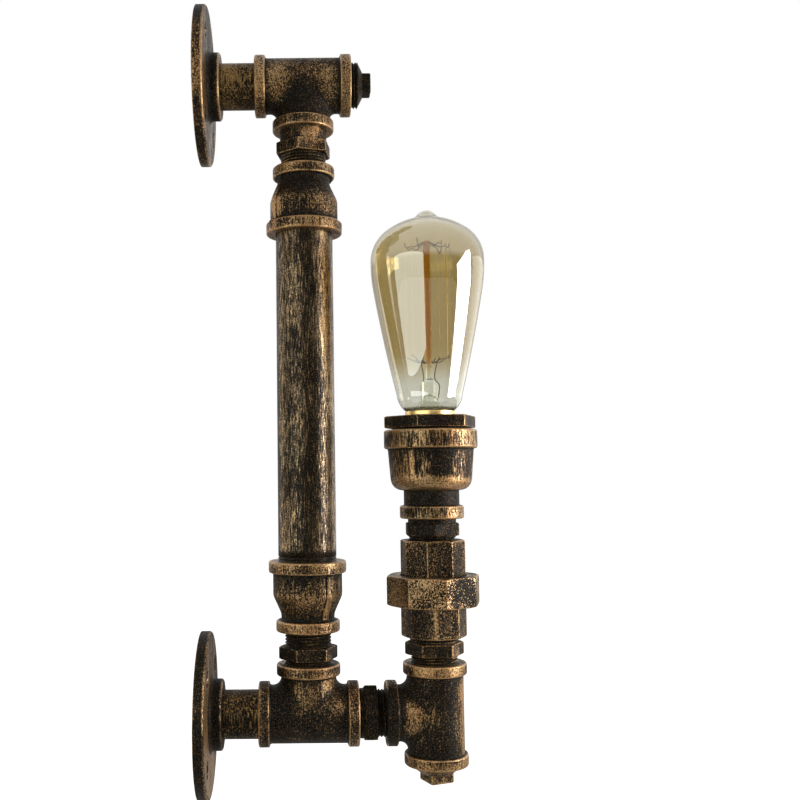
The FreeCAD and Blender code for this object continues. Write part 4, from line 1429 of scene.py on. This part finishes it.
def smoothPath(points, count):
    # A Catmull-Rom curve through a few points.
    points = np.asarray(points, float)
    padded = np.concatenate([2 * points[:1] - points[1:2], points, 2 * points[-1:] - points[-2:-1]])
    spans = len(points) - 1
    t = np.linspace(0, spans, count)
    k = np.minimum(t.astype(int), spans - 1)
    u = (t - k)[:, None]
    a, b, c, d = padded[k], padded[k + 1], padded[k + 2], padded[k + 3]
    square, cube = 2 * a - 5 * b + 4 * c - d, 3 * b - a - 3 * c + d
    return 0.5 * (2 * b + (c - a) * u + square * u ** 2 + cube * u ** 3)


def cagePlace(strand, radius, height):
    # A place on the ring of strands, which is open at the front.
    v = wireValues
    angle = math.radians(-90 + v["opening"] / 2 + strand * (360 - v["opening"]) / (v["strands"] - 1))
    return np.array([radius * math.cos(angle), radius * math.sin(angle), height])


def makeWires(name, node, material, shells):
    makePiece(name, node, "bulb", material, shells, bulbOrigin, closed=False)


def makeFilament(material):
    # Up one strand and down the next, with a small loop over each hook. Each strand sways by a sine of its
    # number. One strand is thick, a painted reflection that shows as a bright streak.
    v, shells = wireValues, []
    for k in range(v["strands"]):
        low, high = [cagePlace(k, v["cageRadius"], v[level]) for level in ("cageLow", "cageHigh")]
        sway = cagePlace(k, v["sway"], 0) * math.sin(1.7 * k)
        radius = v["reflectionRadius"] if k == v["reflectionStrand"] else v["strandRadius"]
        shells.append(closedWire(smoothPath([low, (low + high) / 2 + sway, high], 16), radius))
        if k < v["strands"] - 1:
            level, loop = (v["cageHigh"], v["loop"]) if k % 2 == 0 else (v["cageLow"], -v["loop"])
            start, end = [cagePlace(k + s, v["cageRadius"], level) for s in (0, 1)]
            path = smoothPath([start, (start + end) / 2 + (0, 0, loop), end], 8)
            shells.append(closedWire(path, v["strandRadius"]))
    makeWires("filament", "filament", material, shells)


def makeHooks(name, node, level, first, rise, material):
    # Fine wires that fan out from a collar on the rod, kinked by a sine of their number, with a small hook at
    # each end. They leave the rod above or below the crown's level by rise.
    v, shells = wireValues, []
    for k in range(first, v["strands"] - 1, 2):
        kink = v["kink"] * math.sin(2.3 * k + 0.4 * level)
        path = [cagePlace(k + strand, radius, level + riseShare * rise + kinkShare * kink + up)
                for strand, radius, riseShare, kinkShare, up in v["hookPath"]]
        shells.append(closedWire(smoothPath(path, 30), v["hookRadius"]))
    makeWires(name, node, material, shells)


def makeLeadIn(name, node, strand, material):
    # Out of the press, up beside the rod and forward to the first or last strand.
    v = wireValues
    end = cagePlace(strand, v["cageRadius"], v["cageLow"])
    path = list(zip(v[name], (0, 0, 0, end[1] * 0.5), v["leadInHeights"])) + [end]
    makeWires(name, node, material, [closedWire(smoothPath(path, 40), v["leadInRadius"], 8)])


leadInFinish = plainFinish("darkWire", (0.06, 0.030, 0.008), 0.5)
makeStem(stemGlass())
makeFilament(plainFinish("fineWire", (0.85, 0.66, 0.36), 0.3, 1.0))
makeHooks("upperHooks", "upper_hooks", wireValues["cageHigh"], 0, wireValues["hookRise"], leadInFinish)
makeHooks("lowerHooks", "lower_hooks", wireValues["cageLow"], 1, -wireValues["hookRise"], leadInFinish)
makeLeadIn("leftLeadIn", "left_lead_in_wire", wireValues["strands"] - 1, leadInFinish)
makeLeadIn("rightLeadIn", "right_lead_in_wire", 0, leadInFinish)
print("stage: inside of the bulb made")


# Pieces that keep their solids: each finish's name, colour, roughness and metal, and the pieces that have it

innerFinishes = [
    ("leadSheath", (0.03, 0.03, 0.03), 0.5, 0.0, ("frame_lead", "arm_lead", "head_lead")),
    ("gasketRubber", (0.03, 0.03, 0.03), 0.7, 0.0, ("union_gasket",)),
    ("zincPlate", (0.6, 0.6, 0.62), 0.35, 1.0,
     ("holder_washer", "holder_nut", "holder_tube", "holder_bridge", "bulb_tip")),
    ("glazedCeramic", (0.82, 0.80, 0.75), 0.2, 0.0, ("holder_body",)),
    ("plainBrass", (0.72, 0.52, 0.22), 0.3, 1.0,
     ("holder_shell", "holder_contact", "live_terminal", "neutral_terminal")),
    ("blackGlass", (0.01, 0.01, 0.012), 0.1, 0.0, ("bulb_insulator",)),
]
for name, colour, roughness, metallic, members in innerFinishes:
    material = plainFinish(name, colour, roughness, metallic)
    for node in members:
        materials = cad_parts[node].data.materials
        materials.clear()
        materials.append(material)
print("stage: inner pieces finished")


# Camera, floor and light

cameraValues = {
    "location": (0.05876, -0.57125, 0.13539),
    "rotation": (94.2389, 0.5571, 0.1324),
    "lens": 44.55,
    "sensor": 36.0,
    "shiftX": 0.125,
    "clip": (0.01, 20.0),
}


def makeCamera():
    v, data = cameraValues, bpy.data.cameras.new("camera")
    data.lens, data.sensor_width, data.shift_x = v["lens"], v["sensor"], v["shiftX"]
    data.clip_start, data.clip_end = v["clip"]
    camera = addObject("camera", data)
    camera.location, camera.rotation_euler = v["location"], [math.radians(a) for a in v["rotation"]]
    bpy.context.scene.camera = camera


studioValues = {
    "floorDrop": 0.45,
    "floorSize": 12.0,
    "floorColour": 0.8,
    "floorInGloss": 0.2,
    "ambient": 0.08,
    "roomFront": 0.03,
    "roomBack": 0.75,
    "ceiling": 1.3,
    "target": (0.09, 0.0),
    "lamps": {  # place, width and height, radiance, colour and roll
        "rightWindow": ((1.0, -0.24, 0.157), (0.55, 0.535), 18.0, (1.0, 1.0, 1.0), -20.0),
        "leftWindow": ((-0.715, -0.852, 0.145), (1.42, 0.71), 3.1, (0.93, 1.0, 0.95), 0.0),
        "farLeft": ((-1.0, 0.38, 0.145), (0.95, 0.71), 1.4, (1.0, 0.92, 0.72), 0.0),
        "farRight": ((1.15, 0.64, 0.145), (1.25, 0.71), 1.35, (1.0, 0.97, 0.88), 0.0),
    },
}


def seenRay(tree):
    # 1 for what the camera sees, through glass too, and the mask of what gloss sees.
    paths = addNode(tree, "LightPath").outputs
    seen = maths(tree, "MAXIMUM", paths["Is Camera Ray"], paths["Is Transmission Ray"])
    return seen, paths["Is Glossy Ray"]


def makeFloor():
    # Plain white where it is seen, through glass too, and an ordinary pale floor for all other light.
    v = studioValues
    half, drop, grey = v["floorSize"] / 2, cadBox[0][2] - v["floorDrop"], v["floorColour"]
    mesh = bpy.data.meshes.new("floor")
    mesh.from_pydata([(-half, -half, drop), (half, -half, drop), (half, half, drop), (-half, half, drop)], [],
                     [(0, 1, 2, 3)])
    floor = addObject("floor", mesh)
    material, tree, shader = newMaterial("paleFloor")
    seen, inGloss = seenRay(tree)
    feed(tree, shader, {
        "Base Color": (grey, grey, grey, 1.0), "Roughness": 0.9, "Emission Color": (1.0, 1.0, 1.0, 1.0),
        "Emission Strength": maths(tree, "MAXIMUM", seen, times(tree, inGloss, v["floorInGloss"]))})
    mesh.materials.append(material)


def makeWorld():
    # White where it is seen. Gloss sees a white backdrop behind the object and overhead, and a dim room in
    # front.
    v, world = studioValues, bpy.data.worlds.new("studio")
    bpy.context.scene.world = world
    world.use_nodes = True
    tree = world.node_tree
    direction = addNode(tree, "SeparateXYZ", {0: addNode(tree, "TexCoord").outputs["Generated"]}).outputs
    behind = times(tree, ramp(tree, direction[1], -0.35, 0.3), v["roomBack"])
    above = times(tree, ramp(tree, direction[2], 0.13, 0.22), v["ceiling"])
    room = maths(tree, "MAXIMUM", maths(tree, "MAXIMUM", behind, above), v["roomFront"])
    seen, inGloss = seenRay(tree)
    level = mixValue(tree, seen, mixValue(tree, inGloss, v["ambient"], room), 1.0)
    feed(tree, tree.nodes["Background"], {"Strength": level, "Color": (1.0, 1.0, 1.0, 1.0)})


def makeLamps():
    # A panel's power is its radiance times its area times pi. It faces the target.
    targetX, targetY = studioValues["target"]
    for name, (place, (width, height), radiance, colour, roll) in studioValues["lamps"].items():
        data = bpy.data.lights.new(name, "AREA")
        data.shape, data.size, data.size_y = "RECTANGLE", width, height
        data.energy, data.color = radiance * width * height * math.pi, colour
        lamp = addObject(name, data)
        lamp.location, lamp.visible_camera = place, False
        facing = math.atan2(place[0] - targetX, targetY - place[1])
        lamp.rotation_euler = (quarter, math.radians(roll), facing)


makeCamera()
makeFloor()
makeWorld()
makeLamps()
bpy.context.scene.view_settings.view_transform = "Standard"
print("stage: camera and light set")
